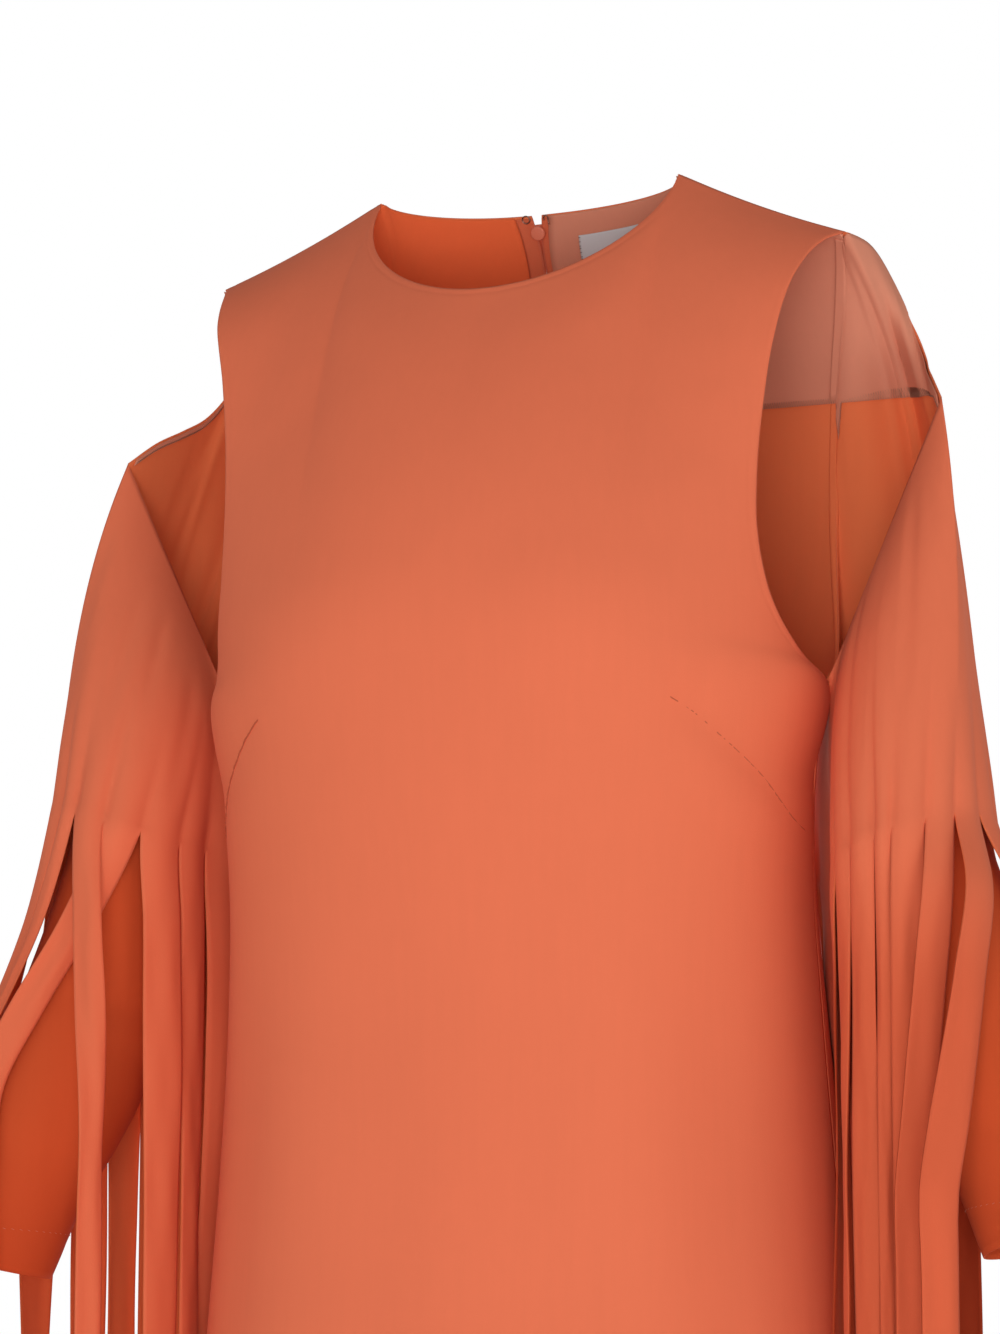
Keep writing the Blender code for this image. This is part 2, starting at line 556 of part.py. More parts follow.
def sleeve_overlay(name, grid, normal, flip, table, finish):
    """The outer sleeve: a tube cut into strips below the slashes, all one piece of cloth."""
    rows, columns = grid.shape[:2]
    points = list(grid.reshape(-1, 3)) + list((grid - normal * CLOTH).reshape(-1, 3))
    layer = rows * columns
    faces = []

    def upper(i, j, inside):
        return inside * layer + i * columns + j % columns

    def both(a, b, c, d):
        """One outer and one inner quad between corner functions of the layer."""
        faces.extend(split_quad(a(0), b(0), c(0), d(0)))
        faces.extend(f[::-1] for f in split_quad(a(1), b(1), c(1), d(1)))

    for i in range(rows - 1):
        for j in range(columns):
            both(*(lambda s, p=p, q=q: upper(p, q, s)
                   for p, q in ((i, j), (i, j + 1), (i + 1, j + 1), (i + 1, j))))
    for j in range(columns):
        top = rows - 1
        faces += split_quad(upper(top, j, 0), upper(top, j + 1, 0), upper(top, j + 1, 1), upper(top, j, 1))
    for k in range(STRIPS):
        first, middle, last = 2 * k, 2 * k + 1, 2 * k + 2
        lefts, rights, outward = strip_edges(grid[0, first], grid[0, last % columns], table[k])
        start = len(points)
        for left, right, out in zip(lefts, rights, outward):
            points += [left, right, left - out * CLOTH, right - out * CLOTH]
        count = len(lefts)

        def side(r, right, inside, start=start, first=first, last=last):
            if r == 0:
                return upper(0, last if right else first, inside)
            return start + 4 * (r - 1) + 2 * inside + right

        for s in (0, 1):
            fan = [(side(0, 0, s), upper(0, middle, s), side(1, 0, s)),
                   (upper(0, middle, s), side(1, 1, s), side(1, 0, s)),
                   (upper(0, middle, s), side(0, 1, s), side(1, 1, s))]
            faces += fan if s else [f[::-1] for f in fan]
        for r in range(count):
            if r:
                both(*(lambda s, p=p, q=q, side=side: side(p, q, s)
                       for p, q in ((r + 1, 0), (r + 1, 1), (r, 1), (r, 0))))
            faces += split_quad(side(r, 0, 0), side(r, 0, 1), side(r + 1, 0, 1), side(r + 1, 0, 0))
            faces += split_quad(side(r, 1, 1), side(r, 1, 0), side(r + 1, 1, 0), side(r + 1, 1, 1))
        faces += split_quad(side(count, 0, 0), side(count, 0, 1), side(count, 1, 1), side(count, 1, 0))
    return add_object(name, [p * flip for p in points], faces, finish)


def share_armhole(panel_normal, sleeve_normal):
    """Make back panel and sleeve agree on one normal where they face the same way along the armhole."""
    for step in range(1, ARM_STEPS + 1):
        column = FRONT_STEPS + CAP_STEPS + ARM_STEPS - step
        mine, other = panel_normal[len(BODY) - 1 + step, -1], sleeve_normal[-1, column]
        if step == ARM_STEPS:
            other[:] = mine
        elif float(mine @ other) > 0:
            mine[:] = other[:] = unit(mine + other)


def rows_where(value, level):
    """For each column of values rising with the rows, the fractional row that holds the level."""
    rows = np.arange(value.shape[0])
    return np.array([np.interp(level, column, rows) for column in value.T])


def sleeve_inner(name, grid, normal, flip, sign, finish):
    """The plain inner sleeve: a bent tube sewn inside the outer one, with a tilted cuff."""
    columns = np.arange(0, 2 * STRIPS, 2)
    level = rows_where(grid[:, columns, 2], INNER_TOP_Z * CM)
    wrapped = np.concatenate([grid, grid[:, :1]], axis=1)
    wrapped_normal = np.concatenate([normal, normal[:, :1]], axis=1)
    out = unit(sample(wrapped_normal, level, columns))
    turn = ring_angles(sign)[columns]
    inset = CLOTH + SEAM * 3 + INNER_TOP_SPARE * lobe(turn)[:, None]
    top = sample(wrapped, level, columns) - out * inset
    rings = []
    for arm in sorted(INNER_SLEEVE):
        tilt = CUFF_TILT if arm.z == min(r.z for r in INNER_SLEEVE) else 0.0
        x = -arm.across * np.cos(turn)
        rings.append(np.stack([arm.x + x, arm.y - arm.deep * np.sin(turn), arm.z + tilt * x], 1) * CM)
    tube = np.array(rings + [top])
    return wall(name, tube * flip, (tube - normals_of(tube, wrap=True) * CLOTH) * flip, finish, wrap=True)


def above_facing_edge(grid):
    """Height of grid points over the facings' lower edge, which rises towards the back."""
    level, rise = FACING_EDGE
    return grid[..., 2] - level * CM - rise * grid[..., 1]


def sleeve_facing(name, grid, normal, flip, finish):
    """Facing inside the sleeve's free edges: a band down the front edge, deeper behind the shoulder.

    It runs straight from its sewn edge, just inside the sleeve's own, to its lower edge.
    """
    front = np.arange(FRONT_STEPS - 7, FRONT_STEPS - 2, 2)
    columns = np.append(front, FRONT_STEPS + 1 + np.arange(len(CAP_FACING_HEM)))
    top_step = np.linalg.norm(grid[-1, columns] - grid[-2, columns], axis=1)
    last = grid.shape[0] - 1
    sewn = sample(grid, last - FACING_ROLL * CM / top_step, columns)
    sewn -= sample(normal, last - FACING_ROLL * CM / top_step, columns) * FACING_INSET[0]
    loose = sample(grid, last - EDGE_FACING * CM / top_step, columns)
    loose -= sample(normal, last - EDGE_FACING * CM / top_step, columns) * FACING_INSET[1]
    loose[len(front):] = np.array(CAP_FACING_HEM) * CM
    share = np.linspace(0, 1, 4)[:, None, None]
    outer = (1 - share) * loose + share * sewn
    depth = np.linspace(0, FACING_BOW * CM, len(CAP_FACING_HEM))[:, None]
    outer[:, len(front):] -= 4 * (share * (1 - share)) * depth * normals_of(outer)[:, len(front):]
    wall(name, outer * flip, (outer - normals_of(outer) * TRIM) * flip, finish)


# ---------------------------------------------------------------- what is sewn on


def tape_columns(grid, rows, width):
    """For rows of a half panel, the fractional column that lies a width (cm) from its centre edge."""
    line = sample(grid, np.array(rows)[:, None], np.arange(grid.shape[1])[None, :])
    step = np.linalg.norm(line[:, 1] - line[:, 0], axis=1)
    return width * CM / step


def back_facing(name, grid, normal, flip, finish):
    """All-in-one facing of back neck, shoulder and armhole, level at its lower edge."""
    last_column = grid.shape[1] - 1
    columns = np.arange(last_column + 1.0)
    low = rows_where(above_facing_edge(grid), 0.0)
    high = grid.shape[0] - 1 - FACING_ROLL * CM / np.linalg.norm(grid[-1] - grid[-2], axis=1)
    whole = np.arange(math.ceil(low.max()), grid.shape[0] - 1)[:, None]
    between = np.broadcast_to(whole, (len(whole), len(low)))
    i = np.concatenate([[low], [(low + whole[0]) / 2], between, [high]])
    j = np.broadcast_to(columns, i.shape).copy()
    j[:, 0] = tape_columns(grid, i[:, 0], TAPE_WIDTH + 0.06)
    j[:, -1] = last_column - 0.1
    lined(name, grid, normal, i, j, CLOTH + SEAM * 3, finish, flip)


def zip_tape(name, grid, normal, flip, finish):
    """Tape of the zip, inside the centre back edge of a back panel."""
    whole = np.arange(grid.shape[0])
    low = float(np.interp(ZIP_END_Z * CM, grid[:, 0, 2], whole))
    i = span(low, grid.shape[0] - 1 - 0.12)
    j = np.stack([np.full(len(i), 0.02), tape_columns(grid, i, TAPE_WIDTH)], 1)
    lined(name, grid, normal, i[:, None], j, CLOTH + SEAM * 1.2, finish, flip)


def label(grid, normal, finish):
    """Blank woven label on the left back facing."""
    start, width, height = LABEL
    first, second = (np.linalg.norm(grid[-k] - grid[-k - 1], axis=1)[1] for k in (1, 2))
    column = np.linalg.norm(grid[-2, 1] - grid[-2, 0]) / CM
    top = grid.shape[0] - 1
    low = top - 1 - ((LABEL_DROP + height) * CM - first) / second
    i = span(low, top - LABEL_DROP * CM / first)[:, None]
    j = span(start / column, (start + width) / column)[None, :]
    lined("label", grid, normal, i, j, CLOTH + SEAM * 5.0 + TRIM, finish, np.ones(3))


class ZipFrame:
    """Local axes at the slider: x to +X, n out of the back of the dress, d down along the zip."""

    def __init__(self, grid):
        top, below = grid[-1, 0], grid[-2, 0]
        down = unit(np.array([0.0, below[1] - top[1], below[2] - top[2]]))
        share = (SLIDER_Z * CM - top[2]) / (below[2] - top[2])
        at = top + (below - top) * share
        self.down = down
        self.out = np.array([0.0, -down[2], down[1]])
        self.origin = np.array([float(zip_line(SLIDER_Z)) * CM, at[1], at[2]])

    def place(self, points):
        """World places of local points (x, n, d) in millimetres."""
        x, n, d = np.split(np.asarray(points, float) * MM, 3, axis=-1)
        return self.origin + x * np.array([1, 0, 0]) + n * self.out + d * self.down


def blocks(frame, name, xs, ns, ds, filled, finish, origin=(0, 0, 0)):
    """One closed solid made of the filled cells between the cuts xs, ns and ds of the zip's frame."""
    corner = {}
    points, faces = [], []

    def vertex(i, j, k):
        if (i, j, k) not in corner:
            corner[i, j, k] = len(points)
            points.append(frame.place((xs[i], ns[j], ds[k])))
        return corner[i, j, k]

    for i, j, k in sorted(filled):
        for axis in range(3):
            for step in (0, 1):
                near = [i, j, k]
                near[axis] += 2 * step - 1
                if tuple(near) in filled:
                    continue
                ring = []
                for p, q in ((0, 0), (1, 0), (1, 1), (0, 1)):
                    at = [i, j, k]
                    at[axis] += step
                    at[(axis + 1) % 3] += p
                    at[(axis + 2) % 3] += q
                    ring.append(vertex(*at))
                faces.append(ring)
    return add_object(name, points, faces, finish, origin)


def zip_slider(frame, finish):
    """Slider: a round plate inside, a web through the gap, a plate and an arch outside."""
    xs = (-2.6, -0.9, -0.45, 0.45, 0.9, 2.6)
    ns = (-3.6, 0.3, 1.3, 3.3, 4.1)
    ds = (-4.2, -3.4, -2.2, 1.8, 3.0, 4.2)
    filled = {(2, 0, k) for k in (1, 2, 3)}
    filled |= {(i, 1, k) for i in range(5) for k in range(5)}
    filled |= {(i, 2, k) for i in (1, 2, 3) for k in (1, 3)}
    filled |= {(i, 3, k) for i in (1, 2, 3) for k in (1, 2, 3)}
    body = blocks(frame, "zip_slider", xs, ns, ds, filled, finish)
    turn = np.linspace(0, 2 * math.pi, DISC_SIDES + 1)[:-1]
    levels = ((3.9, -3.2), (4.5, -3.6), (4.5, -4.9), (3.9, -5.4))
    rings = [frame.place(np.stack([r * np.cos(turn), 0 * turn + n, r * np.sin(turn)], 1))
             for r, n in levels]
    points = np.concatenate(rings)
    faces = []
    for m in range(len(levels) - 1):
        for a in range(DISC_SIDES):
            b = (a + 1) % DISC_SIDES
            here, above = DISC_SIDES * m, DISC_SIDES * (m + 1)
            faces.append([here + a, here + b, above + b, above + a])
    last = DISC_SIDES * (len(levels) - 1)
    faces += [list(range(DISC_SIDES)), list(range(last, last + DISC_SIDES))[::-1]]
    disc = add_object("slider_disc", points, faces, finish)
    disc.hide_render = True
    disc.display_type = "WIRE"
    joined = body.modifiers.new("disc", "BOOLEAN")
    joined.operation = "UNION"
    joined.object = disc


def zip_pull(frame, finish):
    """Pull: a bar under the slider's arch, two arms and a tab, hanging down the back."""
    xs = (-3.1, -2.35, -1.25, 1.25, 2.35, 3.1)
    ns = (1.8, 2.8)
    ds = (0.4, 1.4, 5.4, 7.0, 21.0, 22.4)
    filled = {(i, 0, 0) for i in (1, 2, 3)} | {(i, 0, 1) for i in (1, 3)}
    filled |= {(i, 0, 2) for i in (1, 2, 3)} | {(i, 0, 3) for i in range(5)}
    filled |= {(i, 0, 4) for i in (1, 2, 3)}
    axis = frame.place(PULL_AXIS)
    pull = blocks(frame, "zip_pull", xs, ns, ds, filled, finish, tuple(axis))
    return pull


def wire(name, points, out, finish, closed=False):
    """A round wire along points of a plane whose normal is out."""
    path = np.asarray(points)
    if closed:
        tangent = unit(np.roll(path, -1, axis=0) - np.roll(path, 1, axis=0))
    else:
        tangent = unit(np.gradient(path, axis=0))
    turn = np.linspace(0, 2 * math.pi, WIRE_SIDES + 1)[:-1, None]
    ring = path[:, None] + WIRE_RADIUS * (np.cos(turn) * np.cross(tangent, out)[:, None] + np.sin(turn) * out)
    count = len(path)
    faces = []
    for k in range(count if closed else count - 1):
        for a in range(WIRE_SIDES):
            here, after = WIRE_SIDES * k, WIRE_SIDES * ((k + 1) % count)
            b = (a + 1) % WIRE_SIDES
            faces.append([here + a, here + b, after + b, after + a])
    if not closed:
        last = WIRE_SIDES * (count - 1)
        faces += [list(range(WIRE_SIDES))[::-1], list(range(last, last + WIRE_SIDES))]
    add_object(name, ring.reshape(-1, 3), faces, finish)


def hook_and_eye(frame, finish):
    """Wire eye and wire hook inside the corners over the zip."""
    depth = -(CLOTH + TRIM + SEAM * 1.2) / MM - 1.05
    turn = np.linspace(0, 2 * math.pi, 11)[:-1]
    eye = np.stack([-6.2 + 2.3 * np.cos(turn), 0 * turn + depth, -8.8 + 2.3 * np.sin(turn)], 1)
    wire("eye", frame.place(eye), frame.out, finish, closed=True)
    bend = np.linspace(0, math.pi, 6)
    arc = np.stack([6.4 + 1.3 * np.cos(bend), 0 * bend + depth, -9.2 - 1.3 * np.sin(bend)], 1)
    hook = np.concatenate([[(7.7, depth, -4.2)], arc, [(5.1, depth, -7.4)]])
    wire("hook", frame.place(hook), frame.out, finish)


# ---------------------------------------------------------------- the dress


def main():
    """Build every piece."""
    for item in list(bpy.data.objects):
        bpy.data.objects.remove(item, do_unlink=True)
    crepe = material("coral_crepe", (0.68, 0.17, 0.09))
    deep = material("coral_crepe_inside", (0.55, 0.10, 0.04))
    facing = material("crepe_facing", (0.50, 0.21, 0.14))
    tape = material("zip_tape_coral", (0.62, 0.15, 0.08))
    plastic = material("zip_enamel", (0.72, 0.20, 0.12), 0.45)
    metal = material("pale_metal", (0.75, 0.70, 0.66), 0.3, 1.0)
    satin = material("label_grey", (0.62, 0.62, 0.62), 0.6)

    front_left, normal_left, _, _ = panels(1)
    front_right, normal_right, _, _ = panels(-1)
    front = np.concatenate([front_right[:, :0:-1] * FLIP, front_left], axis=1)
    front_normal = np.concatenate([normal_right[:, :0:-1] * FLIP, normal_left], axis=1)
    wall("front_panel", front, front - front_normal * CLOTH, crepe)

    for side, sign, flip in (("left", 1, np.ones(3)), ("right", -1, FLIP)):
        _, _, back, normal = panels(sign)
        upper = sleeve_upper(back, sign)
        upper_normal = normals_of(upper, wrap=True)
        share_armhole(normal, upper_normal)
        upper_normal = mitred(upper, upper_normal, wrap=True)
        wall(f"back_panel_{side}", back * flip, (back - normal * CLOTH) * flip, crepe)
        back_facing(f"back_facing_{side}", back, normal, flip, facing)
        zip_tape(f"zip_tape_{side}", back, normal, flip, tape)
        sleeve_overlay(f"sleeve_overlay_{side}", upper, upper_normal, flip, STRIP_TABLE[sign], crepe)
        sleeve_inner(f"sleeve_inner_{side}", upper, upper_normal, flip, sign, deep)
        sleeve_facing(f"sleeve_edge_facing_{side}", upper, upper_normal, flip, facing)
        if sign > 0:
            label(back, normal, satin)
            frame = ZipFrame(back)
    zip_slider(frame, plastic)
    zip_pull(frame, plastic)
    hook_and_eye(frame, metal)


main()
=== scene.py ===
"""Full-length coral crepe dress with open shoulders and slashed outer sleeves, hung in its worn form.

Lengths in the tables are centimetres; CM turns them into metres. The front faces -Y, the wearer's left is
+X, +Z is up. Every cloth surface is a function of two parameters: rows run up the cloth, columns run round
it, from left to right as seen from outside, so that faces point outwards.
"""
import logging
import math
from dataclasses import dataclass, field
from enum import Enum
from typing import NamedTuple, Optional, Sequence

import bmesh
import bpy
import numpy as np
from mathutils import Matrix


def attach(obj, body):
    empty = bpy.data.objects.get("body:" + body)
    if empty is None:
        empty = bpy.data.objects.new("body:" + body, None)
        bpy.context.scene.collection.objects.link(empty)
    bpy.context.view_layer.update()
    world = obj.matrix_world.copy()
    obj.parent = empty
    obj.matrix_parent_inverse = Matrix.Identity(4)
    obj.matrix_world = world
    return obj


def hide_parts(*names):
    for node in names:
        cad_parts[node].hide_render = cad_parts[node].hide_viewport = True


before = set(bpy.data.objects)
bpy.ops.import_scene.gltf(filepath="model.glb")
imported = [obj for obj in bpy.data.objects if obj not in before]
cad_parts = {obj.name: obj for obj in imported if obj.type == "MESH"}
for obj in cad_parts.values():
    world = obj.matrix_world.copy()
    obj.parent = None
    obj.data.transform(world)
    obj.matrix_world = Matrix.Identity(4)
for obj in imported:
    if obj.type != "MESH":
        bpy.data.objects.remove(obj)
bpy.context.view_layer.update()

log = logging.getLogger("dress")
Array = np.ndarray
Material = bpy.types.Material
CM = 0.01
MM = 0.001
CLOTH = 0.9 * MM            # wall of the crepe
TRIM = 0.6 * MM             # wall of facings, tapes and label
SEAM = 0.3 * MM             # space between pieces sewn together
NECK_SHARE = 0.4            # share of a panel's columns that the neck takes
STRIP_COUNT = 16
FULL_TURN = 2 * math.pi
WELD = 1e-6                 # corners nearer than this (m) are one
SMALLEST_SHARE = 0.36       # least share of a cut's box that its cloth fills


class Side(Enum):
    """Side of the wearer; the value is the sign of X."""

    LEFT = 1
    RIGHT = -1

    @property
    def word(self) -> str:
        """The side's name in small letters."""
        return self.name.lower()

    @property
    def flip(self) -> Array:
        """Factors that turn a piece drawn on +X to this side."""
        return np.array([float(self.value), 1.0, 1.0])


class Face(Enum):
    """Front or back of the body."""

    FRONT = "front"
    BACK = "back"


# ---------------------------------------------------------------- tables


class Body(NamedTuple):
    """Level section of the dress below the arms."""

    z: float
    half_width: float
    centre_y: float
    half_depth: float
    flute: float


class Armhole(NamedTuple):
    """Point of an armhole edge and the turn of the body section there."""

    x: float
    y: float
    z: float
    turn: float


class Arm(NamedTuple):
    """Level section of an inner sleeve."""

    z: float
    x: float
    y: float
    across: float
    deep: float


class Strip(NamedTuple):
    """How a strip hangs: place round the arm (degrees), space off it, twists (degrees), how much shorter."""

    place: Optional[float]
    lift: float
    turn_mid: float
    turn_end: float
    trim: float


class Fold(NamedTuple):
    """A soft trough (depth above 0) or ridge (below 0) along a path in the X-Z plane; depth in mm."""

    path: tuple
    width: float
    depth: float


class SleeveFold(NamedTuple):
    """A soft trough down the sleeve: turn and width in degrees, span from low to high, depth in mm."""

    turn: float
    low: float
    high: float
    width: float
    depth: float


BODY = (
    Body(-146.0, 26.0, 0.3, 18.0, 0.050),
    Body(-121.0, 23.7, 0.15, 16.2, 0.033),
    Body(-98.0, 21.7, 0.0, 14.8, 0.014),
    Body(-80.0, 20.1, -0.1, 13.6, 0.003),
    Body(-67.0, 19.1, -0.2, 12.9, 0.0),
    Body(-57.0, 18.3, -0.3, 12.5, 0.0),
    Body(-49.0, 17.7, -0.8, 12.2, 0.0),
    Body(-42.0, 17.35, -1.6, 12.0, 0.0),
    Body(-36.0, 17.6, -2.15, 12.1, 0.0),
    Body(-30.5, 18.3, -2.2, 12.3, 0.0),
)
SHOULDER = (19.4, 0.0, -4.2)
FRONT_CENTRE = ((0, -14.5, -30.5), (0, -14.5, -27.0), (0, -13.9, -22.5), (0, -12.5, -17.5),
                (0, -10.6, -12.8), (0, -7.9, -7.7))
BACK_CENTRE = ((0, 10.1, -30.5), (0, 10.4, -24.0), (0, 10.3, -17.5), (0, 9.5, -11.5), (0, 8.0, -6.8),
               (0, 6.4, -3.2), (0, 4.7, -0.1))
FRONT_ARMHOLE = (
    Armhole(18.25, -0.6, -30.5, 97), Armhole(17.9, -3.2, -29.7, 87), Armhole(17.3, -5.4, -28.2, 77),
    Armhole(16.7, -6.9, -25.8, 69), Armhole(16.3, -7.3, -22.4, 64), Armhole(16.35, -7.0, -18.0, 61),
    Armhole(16.65, -6.4, -14.0, 60), Armhole(17.05, -5.6, -10.6, 61), Armhole(17.6, -4.4, -7.8, 64),
    Armhole(18.4, -2.4, -5.4, 68), Armhole(*SHOULDER, 72),
)
BACK_ARMHOLE = (
    Armhole(18.25, -0.6, -30.5, 83), Armhole(18.0, 1.9, -29.4, 80), Armhole(17.5, 4.3, -27.2, 76),
    Armhole(17.0, 6.0, -24.2, 71), Armhole(16.7, 6.9, -20.0, 66), Armhole(16.8, 7.0, -15.4, 63),
    Armhole(17.3, 6.1, -11.0, 62), Armhole(18.0, 4.6, -7.8, 63), Armhole(18.8, 2.3, -5.3, 66),
    Armhole(*SHOULDER, 72),
)
CAP_EDGE = ((25.3, -1.0, -14.7), (24.3, 1.0, -13.1), (23.5, 3.0, -12.0), (22.8, 5.0, -10.8),
            (22.0, 6.2, -9.2), (20.9, 6.4, -7.0), (20.3, 5.6, -5.5), (20.0, 4.2, -4.6), (19.8, 2.2, -4.2),
            SHOULDER)
HEIGHTS = (0.0, 0.10, 0.21, 0.33, 0.45, 0.57, 0.69, 0.82, 0.95, 1.0)
SLASHES = {
    Side.LEFT: (-12, 10, 33, 58, 82, 96, 121, 143, 166, 192, 219, 245, 269, 288, 303, 327),
    Side.RIGHT: (-28, -4, 20.7, 50.3, 78, 103.2, 120, 145, 168, 192, 217, 241, 263, 282, 296, 311),
}
LEVELS = (-43.5, -48.5, -53.0, -57.0, -60.5, -64.5, -77.0)
INNER_SLEEVE = (
    Arm(-62.4, 33.2, -5.0, 5.1, 4.5), Arm(-59.5, 31.6, -4.6, 5.2, 4.6), Arm(-55.5, 29.4, -4.1, 5.2, 4.7),
    Arm(-51.0, 27.2, -3.5, 5.0, 4.8), Arm(-45.5, 25.3, -2.9, 4.5, 5.0), Arm(-40.5, 24.2, -2.6, 3.7, 5.2),
    Arm(-36.5, 23.6, -2.4, 3.3, 5.2),
)
STRIPS = {
    Side.LEFT: (
        Strip(None, 0.0, -8, -16, 0.0), Strip(None, 0.0, 8, 12, 0.6), Strip(None, 0.0, -12, -20, 0.2),
        Strip(None, 0.0, 6, -8, 0.9), Strip(None, 0.0, 24, 30, 0.3), Strip(None, 0.0, -4, 8, 0.7),
        Strip(71, 0.3, 0, -10, 0.0), Strip(79, 0.9, -24, -32, 0.5), Strip(172, 0.0, -6, 10, 0.2),
        Strip(212, 0.0, 8, -12, 0.8), Strip(248, 0.0, -6, 16, 0.4), Strip(None, 0.0, 12, 24, 0.0),
        Strip(None, 0.0, -12, -20, 0.6), Strip(None, 0.0, 8, 18, 0.3), Strip(None, 0.0, -12, -24, 0.7),
        Strip(None, 0.0, 6, 14, 0.1),
    ),
    Side.RIGHT: (
        Strip(None, 0.0, 6, 8, 0.5), Strip(None, 0.0, 10, 14, 0.0), Strip(None, 0.3, 14, 20, 0.7),
        Strip(128, 0.0, 0, 10, 0.2), Strip(62, 1.3, -66, -60, 0.0), Strip(148, 0.0, 0, -10, 0.6),
        Strip(167, 0.0, 0, 12, 0.3), Strip(191, 0.0, 6, -14, 0.9), Strip(222, 0.0, -6, 10, 0.1),
        Strip(248, 0.0, 8, 16, 0.5), Strip(None, 0.0, -10, -22, 0.0), Strip(None, 0.0, 12, 20, 0.7),
        Strip(None, 0.0, -12, 14, 0.2), Strip(None, 0.0, 8, 18, 0.6), Strip(None, 0.0, -10, -24, 0.3),
        Strip(None, 0.0, 6, 12, 0.8),
    ),
}

# ---------------------------------------------------------------- mathematics of surfaces


def unit(v: Array) -> Array:
    """Vectors scaled to length one."""
    return v / np.maximum(np.linalg.norm(v, axis=-1, keepdims=True), 1e-12)


def smooth(edge0: float, edge1: float, x: Array) -> Array:
    """Smooth step: 3 s squared minus 2 s cubed, with s the share of the way from edge0 to edge1."""
    s = np.clip((np.asarray(x, float) - edge0) / (edge1 - edge0), 0, 1)
    return s * s * (3 - 2 * s)


def lengths_along(line: Array) -> Array:
    """Length from a line's first point to each of its points."""
    return np.concatenate([[0], np.cumsum(np.linalg.norm(np.diff(line, axis=0), axis=1))])


def read_along(values: Array, reach: Array, at: Array) -> Array:
    """Three-part values given at lengths along a line, read at other lengths."""
    return np.stack([np.interp(at, reach, values[:, k]) for k in range(3)], -1)


def through(knots: Sequence[float], values: Array, at: Array, first: Optional[Array] = None) -> Array:
    """Cubic Hermite curve through values at rising knots, its slopes taken from the neighbours.

    Args:
        knots: rising places of the values.
        values: one row a knot, of any further shape.
        at: places to read.
        first: slope at the first knot, where it isn't the neighbours'.

    Returns:
        The values at the places, with the same further shape.
    """
    k = np.asarray(knots, float)
    v = np.asarray(values, float)
    shape = v.shape[1:]
    v = v.reshape(len(k), -1)
    at = np.atleast_1d(np.asarray(at, float))
    slope = np.gradient(v, k, axis=0)
    if first is not None:
        slope[0] = np.asarray(first, float).ravel()
    i = np.clip(np.searchsorted(k, at) - 1, 0, len(k) - 2)
    h = (k[i + 1] - k[i])[:, None]
    t = (at[:, None] - k[i][:, None]) / h
    a = (2 * t**3 - 3 * t**2 + 1) * v[i] + (t**3 - 2 * t**2 + t) * h * slope[i]
    b = (3 * t**2 - 2 * t**3) * v[i + 1] + (t**3 - t**2) * h * slope[i + 1]
    return (a + b).reshape(len(at), *shape)


def along(points: Sequence, at: Array) -> Array:
    """Smooth curve through points, read at fractions of its chord length."""
    p = np.asarray(points, float)
    reach = lengths_along(p[:, :3])
    return through(reach / reach[-1], p, at)


def finer(grid: Array, steps: int) -> Array:
    """Grid with steps rows for each of its row gaps: every column becomes a curve through its points.

    The curve's parameter is the mean distance between rows, so that wide and narrow gaps join smoothly.
    """
    gap = np.linalg.norm(np.diff(grid, axis=0), axis=-1).mean(axis=1)
    knots = np.concatenate([[0], np.cumsum(gap)])
    at = np.interp(np.arange((len(grid) - 1) * steps + 1) / steps, np.arange(len(grid)), knots)
    return through(knots, grid, at)


def normals_of(grid: Array, wrap: bool = False) -> Array:
    """Unit normals: the cross product of the way across and the way up."""
    rise = np.gradient(grid, axis=0)
    if wrap:
        across = np.roll(grid, -1, axis=1) - np.roll(grid, 1, axis=1)
    else:
        across = np.gradient(grid, axis=1)
    return unit(np.cross(across, rise))


def path_distance(points: Array, path: Array) -> tuple[Array, Array]:
    """Distance of points to a path of straight pieces, and the nearest place as a fraction of its length.

    Args:
        points: array whose last axis holds coordinates.
        path: one row a corner of the path, with as many coordinates.

    Returns:
        Distances and fractions, shaped as the points without their last axis.
    """
    flat = points.reshape(-1, 1, points.shape[-1])
    a, b = path[:-1], path[1:]
    d = b - a
    length = np.linalg.norm(d, axis=1)
    share = np.clip(((flat - a) * d).sum(-1) / length**2, 0, 1)
    gap = np.linalg.norm(flat - (a + share[..., None] * d), axis=-1)
    best = gap.argmin(axis=1)
    rows = np.arange(len(flat))
    start = np.concatenate([[0], np.cumsum(length)])
    place = (start[best] + share[rows, best] * length[best]) / start[-1]
    return gap[rows, best].reshape(points.shape[:-1]), place.reshape(points.shape[:-1])


def folded(grid: Array, normal: Array, folds: Sequence[Fold]) -> Array:
    """Grid with its soft folds: each moves it in by depth times a bell of the distance to the fold's path.

    The bell fades out over the first and last fifth of the path.
    """
    depth = np.zeros(grid.shape[:-1])
    for fold in folds:
        gap, place = path_distance(grid[..., [0, 2]] / CM, np.array(fold.path, float))
        fade = smooth(0, 0.22, place) * smooth(0, 0.22, 1 - place)
        depth += fold.depth * MM * np.exp(-((gap / fold.width) ** 2)) * fade
    return grid - normal * depth[..., None]


def at_lengths(lines: Array, lengths: Array) -> Array:
    """Points of lines (rows of points) at the given lengths from each line's first point."""
    return np.array([read_along(line, lengths_along(line), lengths) for line in lines])


def crossing(height: Array) -> Array:
    """Fractional row at which each column's rising height passes 0."""
    rows = np.arange(len(height))
    return np.array([np.interp(0.0, column, rows) for column in height.T])


def at_rows(grid: Array, row: Array) -> Array:
    """Points or vectors of a grid at fractional rows; the rows' last axis runs over the columns."""
    low = np.clip(np.floor(row).astype(int), 0, len(grid) - 2)
    share = (row - low)[..., None]
    column = np.arange(grid.shape[1])
    return (1 - share) * grid[low, column] + share * grid[low + 1, column]


